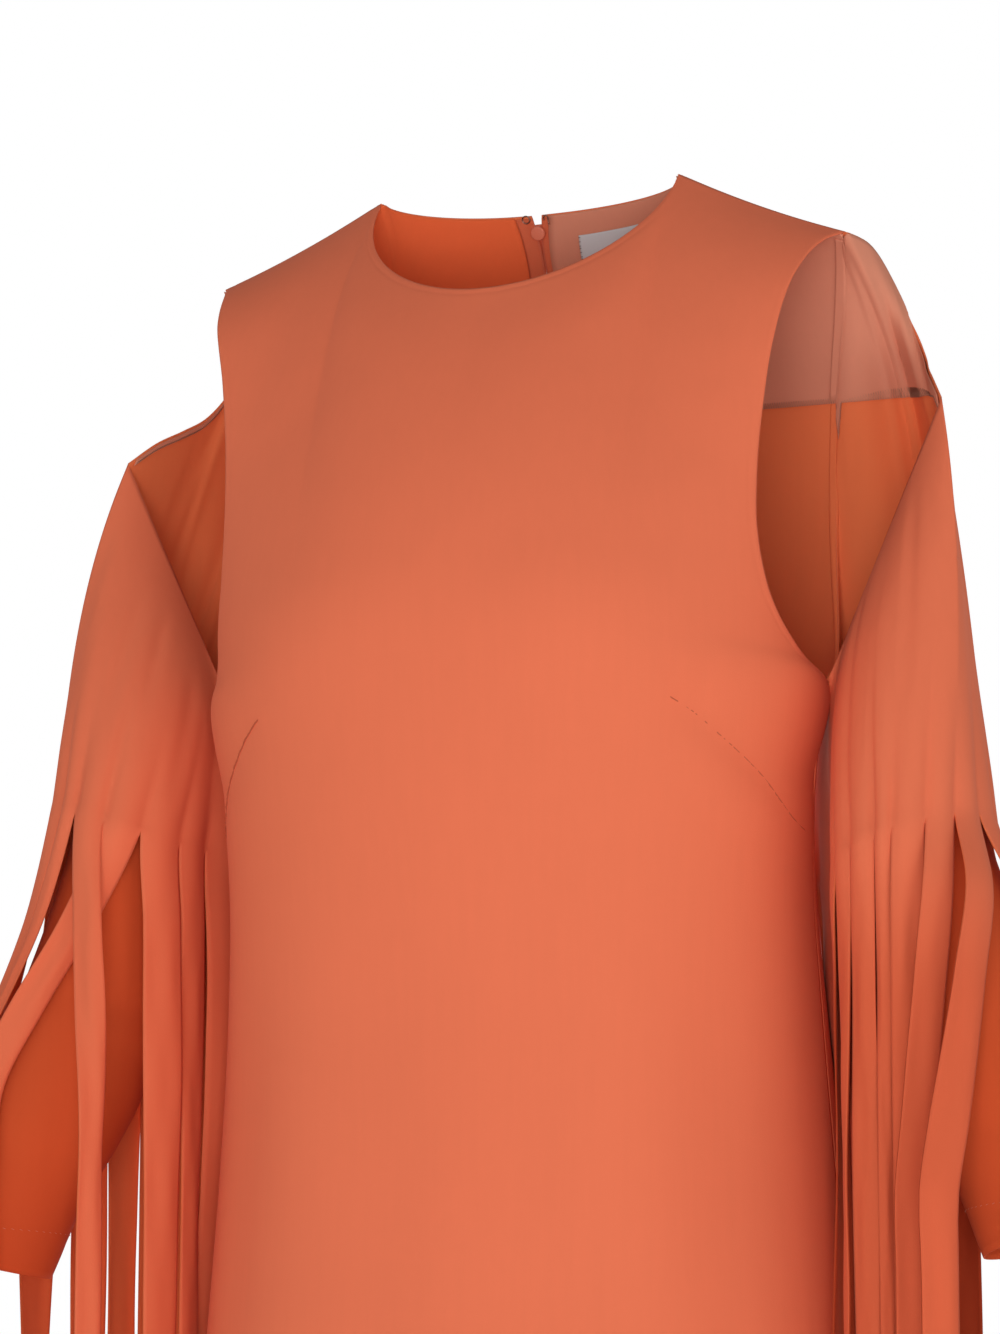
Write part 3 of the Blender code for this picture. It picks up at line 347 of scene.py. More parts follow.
def on_surface(grid: Array, path: Array, toward: float) -> tuple[Array, Array]:
    """Points of a grid above the X-Z path, on the side where normals have the sign of toward in Y.

    Each is the mean of the four nearest grid points, weighted by one over the distance squared.
    """
    normal = normals_of(grid).reshape(-1, 3)
    flat = grid.reshape(-1, 3)
    usable = normal[:, 1] * toward > 0
    flat, normal = flat[usable], normal[usable]
    gap = np.linalg.norm(flat[None, :, [0, 2]] - path[:, None], axis=-1)
    near = np.argsort(gap, axis=1)[:, :4]
    weight = 1 / (np.take_along_axis(gap, near, 1) ** 2 + 1e-9)
    weight = (weight / weight.sum(1, keepdims=True))[..., None]
    found = (flat[near] * weight).sum(1)
    found[:, [0, 2]] = path
    return found, unit((normal[near] * weight).sum(1))


def quads(rows: int, columns: int, wrap: bool = False) -> Array:
    """Faces of a grid, going round each cell so that it faces outwards."""
    i, j = np.meshgrid(np.arange(rows - 1), np.arange(columns if wrap else columns - 1), indexing="ij")
    i, j = i.ravel(), j.ravel()
    k = (j + 1) % columns
    return np.stack([i * columns + j, i * columns + k, (i + 1) * columns + k, (i + 1) * columns + j], 1)


def joined(parts: Sequence[tuple]) -> tuple[Array, Array]:
    """Points and faces of several parts as one mesh, each part's corners counted on from the last."""
    starts = np.cumsum([0] + [len(points) for points, _ in parts[:-1]])
    faces = [own + start for (_, own), start in zip(parts, starts)]
    return np.concatenate([points for points, _ in parts]), np.concatenate(faces)


def area_of(points: Array, faces: Array) -> float:
    """Area of four-sided faces: half the cross product of their diagonals."""
    p = points[faces]
    return float(np.linalg.norm(np.cross(p[:, 2] - p[:, 0], p[:, 3] - p[:, 1]), axis=1).sum() / 2)


def tube(path: Array, radius: float, sides: int, closed: bool = False,
         point: float = 0.05) -> tuple[Array, Array]:
    """Round wire or thread: a circle of points carried along a path, square to its direction.

    A point is the path's point plus the radius times (cos u first + sin u second), with first and second
    square to the path and to each other.

    Args:
        path: points of the middle line.
        radius: radius of the circle.
        sides: points of the circle.
        closed: whether the path returns to its start.
        point: share of the radius that an open path's ends keep.

    Returns:
        Points and four-sided faces.
    """
    if closed:
        tangent = unit(np.roll(path, -1, axis=0) - np.roll(path, 1, axis=0))
    else:
        tangent = unit(np.gradient(path, axis=0))
    first = unit(np.cross(tangent, (0.31, 0.87, 0.39)))
    second = np.cross(tangent, first)
    size = np.full(len(path), radius)
    if not closed:
        size[[0, -1]] *= point
    turn = np.linspace(0, FULL_TURN, sides, endpoint=False)[:, None]
    circle = np.cos(turn) * first[:, None] + np.sin(turn) * second[:, None]
    ring = path[:, None] + size[:, None, None] * circle
    faces = quads(len(path), sides, wrap=True)
    if closed:
        last = (len(path) - 1) * sides + np.arange(sides)
        after = np.arange(sides)
        faces = np.concatenate([faces, np.stack([last, np.roll(last, -1), np.roll(after, -1), after], 1)])
    return ring.reshape(-1, 3), faces


# ---------------------------------------------------------------- objects and shader nodes


def placed(name: str, data: bpy.types.ID) -> bpy.types.Object:
    """A new object in the scene."""
    item = bpy.data.objects.new(name, data)
    bpy.context.scene.collection.objects.link(item)
    return item


def weld(mesh: bpy.types.Mesh, flat: float = 0.0) -> None:
    """Join corners that lie at one place, and faces that meet at less than the angle flat (degrees)."""
    work = bmesh.new()
    work.from_mesh(mesh)
    bmesh.ops.remove_doubles(work, verts=work.verts, dist=WELD)
    if flat:
        bmesh.ops.dissolve_limit(work, angle_limit=math.radians(flat), verts=work.verts, edges=work.edges)
    work.to_mesh(mesh)
    work.free()


def set_values(node: bpy.types.Node, values: dict) -> None:
    """Set constants on a shader node's own sockets."""
    for name, value in values.items():
        node.inputs[name].default_value = value


def add_node(tree: bpy.types.NodeTree, kind: str, values: dict) -> bpy.types.Node:
    """A new shader node with constants on its sockets."""
    node = tree.nodes.new(f"ShaderNode{kind}")
    set_values(node, values)
    return node


def colour_mix(tree: bpy.types.NodeTree, values: dict) -> bpy.types.Node:
    """A node that mixes two colours."""
    node = tree.nodes.new("ShaderNodeMix")
    node.data_type = "RGBA"
    set_values(node, values)
    return node


def plus(tree: bpy.types.NodeTree, share: float) -> bpy.types.Node:
    """A node that adds its third input to share times its first."""
    node = tree.nodes.new("ShaderNodeMath")
    node.operation = "MULTIPLY_ADD"
    node.inputs[1].default_value = share
    return node


def new_material(name: str, values: dict) -> tuple:
    """A material, its node tree and its shader, with constants on the shader's sockets."""
    material = bpy.data.materials.new(name)
    material.use_nodes = True
    shader = material.node_tree.nodes["Principled BSDF"]
    set_values(shader, values)
    return material, material.node_tree, shader


# ---------------------------------------------------------------- finishes


@dataclass(frozen=True)
class CrepeFinish:
    """Matt crepe: pebbled grain, a faint warp line, slightly cloudy dye, soft bloom at grazing angles."""

    name: str
    colour: tuple
    cloudy: float = 0.05
    sheen: float = 0.06
    grain: float = 0.00075
    roughness: float = 0.88
    relief: float = 0.30
    # Colour of painted shade, mixed in by the mesh's painted shade attribute; None leaves it out.
    fallen: Optional[tuple] = None

    def build(self) -> Material:
        """Make the material.

        Returns:
            The material, its patterns on Object coordinates.
        """
        material, tree, shader = new_material(self.name, {
            "Roughness": self.roughness, "Sheen Weight": self.sheen, "Sheen Roughness": 0.45,
            "Sheen Tint": (1.0, 0.60, 0.46, 1.0), "Specular IOR Level": 0.12})
        light = tuple(min(c * (1 + self.cloudy), 1.0) for c in self.colour)
        dark = tuple(c * (1 - self.cloudy) for c in self.colour)
        across, up = 1.0 / (6 * self.grain), 1.0 / (90 * self.grain)
        where = add_node(tree, "TexCoord", {})
        cloud = add_node(tree, "TexNoise", {"Scale": 7.0, "Detail": 3.0})
        stretch = add_node(tree, "Mapping", {"Scale": (across, across, up)})
        slub = add_node(tree, "TexNoise", {"Scale": 1.0, "Detail": 2.0})
        pebble = add_node(tree, "TexNoise", {"Scale": 1.0 / self.grain, "Detail": 4.0, "Roughness": 0.65})
        shade = colour_mix(tree, {"A": (*dark, 1.0), "B": (*light, 1.0)})
        mingle, height = plus(tree, 0.35), plus(tree, 0.5)
        bump = add_node(tree, "Bump", {"Strength": self.relief, "Distance": 0.00025})
        link = tree.links.new
        link(where.outputs["Object"], cloud.inputs["Vector"])
        link(where.outputs["Object"], stretch.inputs["Vector"])
        link(stretch.outputs["Vector"], slub.inputs["Vector"])
        link(where.outputs["Object"], pebble.inputs["Vector"])
        link(slub.outputs["Fac"], mingle.inputs[0])
        link(cloud.outputs["Fac"], mingle.inputs[2])
        link(mingle.outputs["Value"], shade.inputs["Factor"])
        last = shade
        # Painted shade: the base colour mixes towards the shade colour by the mesh's attribute.
        if self.fallen:
            depth = add_node(tree, "Attribute", {})
            depth.attribute_name = "fallen"
            last = colour_mix(tree, {"B": (*self.fallen, 1.0)})
            link(depth.outputs["Fac"], last.inputs["Factor"])
            link(shade.outputs["Result"], last.inputs["A"])
        link(last.outputs["Result"], shader.inputs["Base Color"])
        link(slub.outputs["Fac"], height.inputs[0])
        link(pebble.outputs["Fac"], height.inputs[2])
        link(height.outputs["Value"], bump.inputs["Height"])
        link(bump.outputs["Normal"], shader.inputs["Normal"])
        return material


@dataclass(frozen=True)
class HardFinish:
    """Enamel, metal or thread: one colour with fine wear in its roughness."""

    name: str
    colour: tuple
    roughness: float
    metallic: float = 0.0
    wear: float = 0.12
    grain: float = 0.0012

    def build(self) -> Material:
        """Make the material.

        Returns:
            The material, its wear on Object coordinates.
        """
        material, tree, shader = new_material(self.name, {
            "Base Color": (*self.colour, 1.0), "Metallic": self.metallic})
        where = add_node(tree, "TexCoord", {})
        noise = add_node(tree, "TexNoise", {"Scale": 1.0 / self.grain, "Detail": 3.0})
        spread = add_node(tree, "MapRange", {"To Min": self.roughness - self.wear,
                                             "To Max": self.roughness + self.wear})
        bump = add_node(tree, "Bump", {"Strength": 0.15, "Distance": 0.0001})
        link = tree.links.new
        link(where.outputs["Object"], noise.inputs["Vector"])
        link(noise.outputs["Fac"], spread.inputs["Value"])
        link(spread.outputs["Result"], shader.inputs["Roughness"])
        link(noise.outputs["Fac"], bump.inputs["Height"])
        link(bump.outputs["Normal"], shader.inputs["Normal"])
        return material


CORAL = (0.80, 0.178, 0.085)


def soft_cloth(name: str, colour: tuple, **options: object) -> Material:
    """A finish of crepe, made when the finishes are."""
    return field(default_factory=CrepeFinish(name, colour, **options).build)


def hard_piece(name: str, colour: tuple, roughness: float, **options: float) -> Material:
    """A hard finish, made when the finishes are."""
    return field(default_factory=HardFinish(name, colour, roughness, **options).build)


@dataclass
class Finishes:
    """Every finish of the dress, made once."""

    crepe: Material = soft_cloth("coral_crepe_cloth", CORAL)
    # Painted shade: the strips' crepe darkens down the strips by the mesh's attribute.
    strips: Material = soft_cloth("coral_crepe_strips", CORAL, fallen=(0.68, 0.112, 0.045))
    # Inner sleeve: the crepe deepened to dark orange, painted shade of the sleeve's shaded inside.
    inside: Material = soft_cloth("coral_crepe_under", (0.60, 0.080, 0.022), sheen=0.04)
    # Inner face of the walls: a brighter, redder copy of the crepe, painted bounced light; painted shade
    # darkens it down the strips.
    reverse: Material = soft_cloth("coral_crepe_reverse", (0.90, 0.205, 0.075), sheen=0.04,
                                   fallen=(0.36, 0.030, 0.008))
    facing: Material = soft_cloth("pale_facing_cloth", (0.72, 0.268, 0.168), sheen=0.04, grain=0.0006)
    # Right back facing: the facing cloth painted deep orange, painted shade and bounced light.
    neck: Material = soft_cloth("coral_facing_cloth", (0.90, 0.150, 0.048), sheen=0.05, grain=0.0006)
    tape: Material = soft_cloth("zip_tape_weave", (0.74, 0.155, 0.070), grain=0.0005, relief=0.6)
    # Dark coral of the dart lines: painted shade of their creases.
    seam: Material = soft_cloth("seam_shadow", (0.50, 0.105, 0.050), sheen=0.0, grain=0.0005)
    label: Material = soft_cloth("label_satin", (0.66, 0.65, 0.65), cloudy=0.02, grain=0.0004)
    thread: Material = hard_piece("coral_thread", (0.62, 0.20, 0.12), 0.7)
    dark_thread: Material = hard_piece("dark_thread", (0.10, 0.06, 0.05), 0.8)
    facing_thread: Material = hard_piece("facing_thread", (0.50, 0.23, 0.15), 0.75)
    enamel: Material = hard_piece("coral_enamel", (0.78, 0.20, 0.11), 0.42)
    metal: Material = hard_piece("pale_wire", (0.30, 0.17, 0.13), 0.30, metallic=1.0, wear=0.08)


# ---------------------------------------------------------------- making pieces


@dataclass
class Maker:
    """Turns arrays into pieces that ride on the dress."""

    finishes: Finishes

    def piece(self, name: str, points: Array, faces: Array, finish: Material, slot: str,
              side: Side = Side.LEFT, wall: float = 0.0, replaces: Sequence[str] = (), merge: bool = False,
              lining: Optional[Material] = None, rim: int = 1) -> bpy.types.Object:
        """Make one piece.

        Args:
            name: the piece's name.
            points: corners in metres, drawn on +X.
            faces: faces that point outwards on +X.
            finish: its material.
            slot: not used.
            side: the side it is for; a right-hand piece is turned over.
            wall: thickness put on its inner side, or 0 for a closed piece.
            replaces: the CAD nodes it stands for.
            merge: whether corners at one place become one.
            lining: material of the wall's inner face, where it differs.
            rim: 1 where the wall's edges take the lining's material too.

        Returns:
            The new object.
        """
        faces = faces if side is Side.LEFT else faces[:, ::-1]
        mesh = bpy.data.meshes.new(name)
        mesh.from_pydata((points * side.flip).tolist(), [], faces.tolist())
        if merge:
            weld(mesh)
        mesh.polygons.foreach_set("use_smooth", np.ones(len(mesh.polygons), bool))
        mesh.materials.append(finish)
        item = placed(name, mesh)
        if wall:
            thick = item.modifiers.new("wall", "SOLIDIFY")
            thick.thickness = wall
            thick.offset = -1
            if lining:
                mesh.materials.append(lining)
                thick.material_offset = 1
                thick.material_offset_rim = rim
        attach(item, "dress")
        if replaces:
            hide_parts(*replaces)
        log.info("%s: %d faces", name, len(faces))
        return item

    def cloth(self, name: str, grid: Array, finish: Material, slot: str, side: Side, wall: float,
              node: str, rests_on: Sequence[str], wrap: bool = False,
              lining: Optional[Material] = None, rim: int = 1) -> None:
        """Make a hung sheet of cloth from a grid and measure its cut along its rows and columns.

        Args:
            name: the sheet's name.
            grid: its points, rows going up.
            finish: its material.
            slot: the record's material slot.
            side: the side it is for.
            wall: its thickness.
            node: the CAD node it stands for.
            rests_on: not used.
            wrap: whether the last column joins the first.
            lining: material of its inner face, where it differs.
            rim: 1 where its edges take the lining's material too.
        """
        faces = quads(*grid.shape[:2], wrap=wrap)
        item = self.piece(name, grid.reshape(-1, 3), faces, finish, slot, side, wall, [node], lining=lining,
                          rim=rim)
        loop = np.concatenate([grid, grid[:, :1]], axis=1) if wrap else grid
        width = float(np.linalg.norm(np.diff(loop, axis=1), axis=-1).sum(axis=1).max())
        length = float(np.linalg.norm(np.diff(grid, axis=0), axis=-1).sum(axis=0).max())
        area = area_of(grid.reshape(-1, 3), faces)
        length = min(length, area / (SMALLEST_SHARE * width))

    def rounded(self, node: str, finish: Material, slot: str, bevel: float, body: str) -> None:
        """A merged copy of a hard CAD node with bevelled edges, riding on a body."""
        mesh = bpy.data.objects[node].data.copy()
        weld(mesh, flat=2.0)
        mesh.materials.clear()
        mesh.materials.append(finish)
        mesh.polygons.foreach_set("use_smooth", np.ones(len(mesh.polygons), bool))
        item = placed(f"{node}_fine", mesh)
        soft = item.modifiers.new("edges", "BEVEL")
        soft.width = bevel
        soft.segments = 3
        soft.limit_method = "ANGLE"
        soft.angle_limit = math.radians(35)
        soft.harden_normals = True
        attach(item, body)
        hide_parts(node)
        log.info("%s: rounded copy", item.name)

    def overlock(self, name: str, grid: Array, side: Side) -> None:
        """Zigzag thread over a sheet's lower edge: its points swing between the edge and a width above it."""
        width, pitch, thread, proud = 3.5 * MM, 1.6 * MM, 0.17 * MM, 0.15 * MM
        edge = grid[0]
        length = lengths_along(edge)
        at = np.arange(pitch, length[-1] - pitch, pitch / 2)
        column = np.interp(at, length, np.arange(len(edge)))
        rise = width / np.maximum(np.linalg.norm(grid[1] - grid[0], axis=-1).mean(), 1e-9)
        row = np.where(np.arange(len(at)) % 2, 0.0, min(rise, len(grid) - 2))
        j0 = np.clip(column.astype(int), 0, len(edge) - 2)
        i0 = np.clip(row.astype(int), 0, len(grid) - 2)
        f, g = (column - j0)[:, None], (row - i0)[:, None]
        path = ((1 - f) * (1 - g) * grid[i0, j0] + f * (1 - g) * grid[i0, j0 + 1]
                + (1 - f) * g * grid[i0 + 1, j0] + f * g * grid[i0 + 1, j0 + 1])
        normal = normals_of(grid)[i0, j0]
        threads = [tube(path + normal * layer, thread, 4) for layer in (proud, -TRIM - proud)]
        self.piece(name, *joined(threads), self.finishes.facing_thread, "crepe_facing", side)


# ---------------------------------------------------------------- body


@dataclass
class Bodice:
    """Front and back panels with their facings, zip and label.

    A panel's half is a grid: columns from the centre line to the side, rows from the hem to the neck and
    shoulder. Below the arms a row is an ellipse; above, it is an arc from the centre line to the armhole
    that turns into the neck curve and the shoulder seam.
    """

    maker: Maker
    side_y: float = -0.6
    neck_half: float = 9.4
    neck_top: float = 0.2
    front_neck: tuple = (-7.9, -7.7)
    back_neck: tuple = (4.7, -0.1)
    shoulder_sag: float = 0.25
    zip_lean: float = -1.15
    seam_gap: float = 0.015
    zip_gap: float = 0.08
    zip_top_gap: float = 0.32
    zip_closed: float = -0.95
    zip_end: float = -57.0
    flutes: int = 9
    flute_phase: float = 0.6
    bust: tuple = (8.6, -26.5, 6.0, 0.6)
    right_fullness: float = 0.5
    facing_edge: tuple = (-14.4, 0.25)
    from_zip: dict = field(default_factory=lambda: {Side.LEFT: 0.38, Side.RIGHT: 0.80})
    neck_stitch: float = 0.46
    armhole_stitch: float = 0.5
    zip_stitch: float = 0.3
    hem_stitch: float = 2.0
    tape_width: float = 1.06
    tape_inset: float = 0.04
    tape_span: tuple = (58.3, 0.15)
    teeth_place: tuple = (0.06, 0.12)
    teeth_inset: float = 0.135
    teeth_span: tuple = (57.7, 1.45)
    label_place: tuple = (2.45, 4.2, 1.5, 2.0)
    slider_place: tuple = (-1.15, 5.205, -1.0)
    zip_way: tuple = (0.0, 0.4893, -0.8721)
    wire_depth: float = -4.0
    eye_centre: tuple = (-6.2, -8.8)
    eye_radius: float = 2.3
    hook_bend: tuple = (6.4, -9.2, 1.3)
    hook_top: float = -4.2
    hook_tip: float = -7.4
    wire_stitches: tuple = ((-8.4, -8.4), (-7.8, -7.2), (-6.6, -6.6), (7.7, -4.8), (7.7, -6.0), (7.7, -7.2))
    neck_angle: float = math.radians(33)
    columns: tuple = (34, 54)
    row_steps: int = 9

    def section(self, z: Array) -> Array:
        """Half width, centre depth, half depth and flute of the dress at heights z."""
        rows = sorted(BODY)
        return through([r.z for r in rows], [r[1:] for r in rows], z).T

    def fractions(self) -> Array:
        """Places of the columns from a panel's centre (0) to its side (1)."""
        inner, outer = self.columns
        neck = np.linspace(0, NECK_SHARE, inner + 1)
        return np.concatenate([neck, np.linspace(NECK_SHARE, 1, outer + 1)[1:]])

    def turned(self, fraction: Array, side: Array) -> Array:
        """Turn of the section at column fractions: to the neck angle at the neck's share, then on."""
        low = fraction / NECK_SHARE * self.neck_angle
        high = self.neck_angle + (fraction - NECK_SHARE) / (1 - NECK_SHARE) * (side - self.neck_angle)
        return np.where(fraction < NECK_SHARE, low, high)

    def zip_half_gap(self, z: Array) -> Array:
        """Half the space between the back panels: closed below the zip, a V above the slider."""
        return np.interp(z, [self.zip_end - 4, self.zip_end, self.zip_closed, self.back_neck[1]],
                         [self.seam_gap, self.zip_gap, self.zip_gap, self.zip_top_gap])

    def zip_line(self, z: Array) -> Array:
        """Sideways place of the centre back: it leans near the neck."""
        return self.zip_lean * smooth(-26.0, -2.0, z)

    def skirt(self, face: Face, side: Side, fraction: Array) -> Array:
        """Rows below the arms: an ellipse whose radius waves round the hem by flute times a cosine."""
        z = np.array(sorted(r.z for r in BODY)[:-1])[:, None]
        a, centre, b, flute = self.section(z[:, 0])[:, :, None]
        seam = math.pi / 2 + np.arcsin((self.side_y - centre) / b)
        if face is Face.BACK:
            angle = math.pi - self.turned(fraction, math.pi - seam)
        else:
            angle = self.turned(fraction, seam)
        wave = 1 + flute * np.cos(self.flutes * angle * side.value + self.flute_phase)
        x = a * wave * np.sin(angle)
        y = centre - b * wave * np.cos(angle)
        if face is Face.BACK:
            x = x + (1 - fraction) * (self.zip_line(z) * side.value + self.zip_half_gap(z))
        return np.stack([x, y, np.broadcast_to(z, x.shape)], -1)

    def top_row(self, face: Face, side: Side, fraction: Array) -> Array:
        """Upper edge: a quarter ellipse round the neck, then the shoulder seam with its dip."""
        back = face is Face.BACK
        start = float(self.zip_line(self.back_neck[1])) * side.value + self.zip_top_gap if back else 0.0
        depth, low = self.back_neck if back else self.front_neck
        t = np.clip(fraction / NECK_SHARE, 0, 1) * math.pi / 2
        neck = np.stack([start + (self.neck_half - start) * np.sin(t), depth * np.cos(t),
                         self.neck_top + (low - self.neck_top) * np.cos(t)], -1)
        s = np.clip((fraction - NECK_SHARE) / (1 - NECK_SHARE), 0, 1)[:, None]
        seam = (1 - s) * np.array([self.neck_half, 0, self.neck_top]) + s * np.array(SHOULDER)
        seam[:, 2] -= self.shoulder_sag * 4 * (s * (1 - s))[:, 0]
        seam[:, 1] += self.seam_gap * (1 if back else -1)
        return np.where(fraction[:, None] <= NECK_SHARE, neck, seam)

    def upper(self, face: Face, side: Side, fraction: Array) -> Array:
        """Rows from the underarm up: straight line, plus an arc that gives way to the top edge's shape."""
        back = face is Face.BACK
        top = self.top_row(face, side, fraction)
        height = np.array(HEIGHTS)
        centre = along(BACK_CENTRE if back else FRONT_CENTRE, height)
        edge = along(BACK_ARMHOLE if back else FRONT_ARMHOLE, height)
        if side is Side.RIGHT:
            bell = np.exp(-(((edge[:, 2] + 8.2) / 3.2) ** 2))
            edge[:, 0] += self.right_fullness * bell * smooth(1.0, 0.9, height)
        if back:
            centre[:, 0] = self.zip_line(centre[:, 2]) * side.value + self.zip_half_gap(centre[:, 2])
        ramp = fraction[None, :, None]
        turn = np.radians(edge[:, 3])[:, None]
        angle = self.turned(fraction[None, :], turn)
        c, e = centre[:, None, :3], edge[:, None, :3]
        x = c[..., 0] + (e - c)[..., 0] * np.sin(angle) / np.sin(turn)
        y = c[..., 1] + (e - c)[..., 1] * (1 - np.cos(angle)) / (1 - np.cos(turn))
        straight = (1 - ramp) * c + ramp * e
        arc = np.stack([x, y, straight[..., 2]], -1) - straight
        shape = top - ((1 - ramp[0]) * top[0] + ramp[0] * top[-1])
        blend = (height**2.5)[:, None, None]
        rows = straight + (1 - blend) * arc + blend * shape
        rows[-1] = top
        return rows

    def half(self, face: Face, side: Side) -> Array:
        """One half of a panel in metres, drawn on +X, with every column a smooth curve."""
        fraction = self.fractions()
        grid = np.concatenate([self.skirt(face, side, fraction), self.upper(face, side, fraction)])
        grid = finer(grid, self.row_steps)
        if face is Face.FRONT:
            x, z, reach, rise = self.bust
            near = np.exp(-((grid[..., 0] - x) ** 2 + (grid[..., 2] - z) ** 2) / reach**2)
            grid[..., 1] -= rise * near
        grid[:, -1] -= unit(grid[:, -1] - grid[:, -2]) * self.seam_gap
        return grid * CM

    def front_folds(self) -> tuple:
        """Soft folds of the front: the darts, the fall from the bust, the drag under the arms."""
        return (
            Fold(((12.2, -32.7), (14.3, -34.5), (16.2, -36.8), (17.5, -39.6)), 0.22, 0.9),
            Fold(((12.0, -32.2), (14.6, -34.1), (17.4, -37.6)), 1.5, 1.4),
            Fold(((12.8, -34.6), (14.6, -36.4), (16.6, -40.2)), 1.3, -0.8),
            Fold(((-12.2, -32.7), (-14.3, -34.5), (-16.2, -36.8), (-17.5, -39.6)), 0.22, 0.5),
            Fold(((-12.0, -32.2), (-14.6, -34.1), (-17.4, -37.6)), 1.6, 0.8),
            Fold(((8.5, -33), (9.6, -48), (11.0, -75), (13.5, -120)), 3.0, -2.4),
            Fold(((4.0, -36), (4.4, -52), (4.9, -80), (6.0, -125)), 2.6, 1.9),
            Fold(((-8.8, -34), (-9.6, -50), (-11.2, -78), (-13.0, -125)), 3.2, -2.2),
            Fold(((-3.6, -42), (-3.9, -60), (-4.6, -90), (-5.8, -130)), 2.8, 1.6),
            Fold(((13.6, -44), (14.4, -60), (15.6, -88)), 1.8, 1.6),
            Fold(((-13.8, -46), (-14.6, -62), (-15.8, -90)), 1.9, 1.5),
            Fold(((-12.5, -5.0), (-13.6, -9.5), (-14.6, -15.0)), 1.6, 1.0),
            Fold(((12.4, -5.4), (13.4, -10.0), (14.3, -15.5)), 1.7, 0.8),
            Fold(((-5.5, -10.5), (-9.5, -13.0), (-14.0, -17.5)), 2.0, 0.7),
            Fold(((6.0, -10.5), (10.0, -14.0), (14.0, -20.0)), 2.2, 0.7),
            Fold(((-15.0, -24), (-11.0, -23.2), (-6.0, -23.0), (0, -24.0)), 2.6, 0.9),
            Fold(((15.2, -25), (11.0, -24.0), (6.5, -23.4), (0, -24.2)), 2.4, 0.8),
        )

    def back_folds(self, side: Side) -> tuple:
        """Soft folds of a back panel, drawn on +X: dart, fall from the shoulder blade, armhole drag."""
        shift = 0.5 * side.value
        return (
            Fold(((8.2, -28.0), (8.4, -34.0), (8.5, -42.0), (8.6, -52.0)), 0.20, 0.8),
            Fold(((8.2, -27.0), (8.5, -40.0), (8.6, -53.0)), 1.6, 1.0),
            Fold(((11.6 + shift, -36), (12.2, -55), (13.5, -85), (15.5, -125)), 2.8, -2.2),
            Fold(((5.0 + shift, -52), (5.6, -75), (6.6, -100), (7.6, -130)), 2.6, 1.9),
            Fold(((13.5, -13), (12.2, -18), (9.5, -23)), 2.0, 0.9),
            Fold(((15.6, -26), (12.5, -29.5), (9.0, -31.0)), 1.8, 0.9),
        )

    @staticmethod
    def edge_pressed(grid: Array, normal: Array, edge: Array, at: float, depth: float) -> Array:
        """Grid with a turned edge: it rolls in at the edge, and a pressed line runs beside it.

        Args:
            grid: points of the cloth.
            normal: its normals.
            edge: points of the edge.
            at: distance of the line from the edge (cm).
            depth: depth of the line (mm).

        Returns:
            The grid, moved in by two bells of the distance to the edge.
        """
        line_width, roll_width, roll_depth = 0.11 * CM, 0.16 * CM, 0.45 * MM
        gap, _ = path_distance(grid, edge)
        line = np.exp(-(((gap - at * CM) / line_width) ** 2)) * depth * MM
        roll = np.exp(-((gap / roll_width) ** 2)) * roll_depth
        return grid - normal * (line + roll)[..., None]

    def front(self) -> None:
        """Build the front panel, both halves in one sheet."""
        left, right = self.half(Face.FRONT, Side.LEFT), self.half(Face.FRONT, Side.RIGHT)
        grid = np.concatenate([right[:, :0:-1] * Side.RIGHT.flip, left], axis=1)
        grid = folded(grid, normals_of(grid), self.front_folds())
        normal = normals_of(grid)
        start = (len(BODY) - 1) * self.row_steps
        inner = self.columns[0]
        middle = left.shape[1] - 1
        neck = grid[-1, middle - inner:middle + inner + 1][::4]
        grid = self.edge_pressed(grid, normal, neck, self.neck_stitch, 0.35)
        for column in (0, -1):
            grid = self.edge_pressed(grid, normal, grid[start:, column][::5], self.armhole_stitch, 0.2)
        grid = self.edge_pressed(grid, normal, grid[0, ::3], self.hem_stitch, 0.4)
        path = np.array([(12.2, -32.7), (13.3, -33.5), (14.3, -34.5), (16.2, -36.8), (17.4, -39.4)])
        for side, sunk in ((Side.LEFT, 0.0), (Side.RIGHT, 0.17)):
            self.dart_seam(f"dart_{side.word}", grid * side.flip, path, -side.value, side, sunk)
        self.maker.cloth("front_panel_cloth", grid, self.maker.finishes.crepe, "coral_crepe", Side.LEFT,
                         CLOTH, "front_panel", ["back_panel_left", "back_panel_right"],
                         lining=self.maker.finishes.reverse, rim=0)

    def dart_seam(self, name: str, grid: Array, path: Sequence, toward: float, side: Side,
                  sunk: float) -> None:
        """The sewn line of a dart: a dark tube whose middle lies under the cloth, deepest at the dart's
        point.

        Args:
            name: the piece's name.
            grid: the panel's points, drawn on +X.
            path: the dart's X-Z points (cm), from its point down.
            toward: sign of Y that the panel faces, on its own side.
            side: the panel's side.
            sunk: how much deeper it lies (mm).
        """
        steps = 90
        line = along([(x, 0.0, z) for x, z in path], np.linspace(0, 1, steps))[:, [0, 2]] * CM
        found, normal = on_surface(grid, line, toward)
        found = found + normal * (np.linspace(-0.10, -0.32, steps)[::-1, None] - sunk) * MM
        # The tube's dark coral is painted shade of the dart's crease; the sewn line itself is real.
        self.maker.piece(name, *tube(found, 0.40 * MM, 6), self.maker.finishes.seam, "coral_crepe", side)

    def back_grid(self, side: Side) -> Array:
        """Folded grid of a back panel, drawn on +X, columns from the centre."""
        grid = self.half(Face.BACK, side)
        return folded(grid, -normals_of(grid), self.back_folds(side))

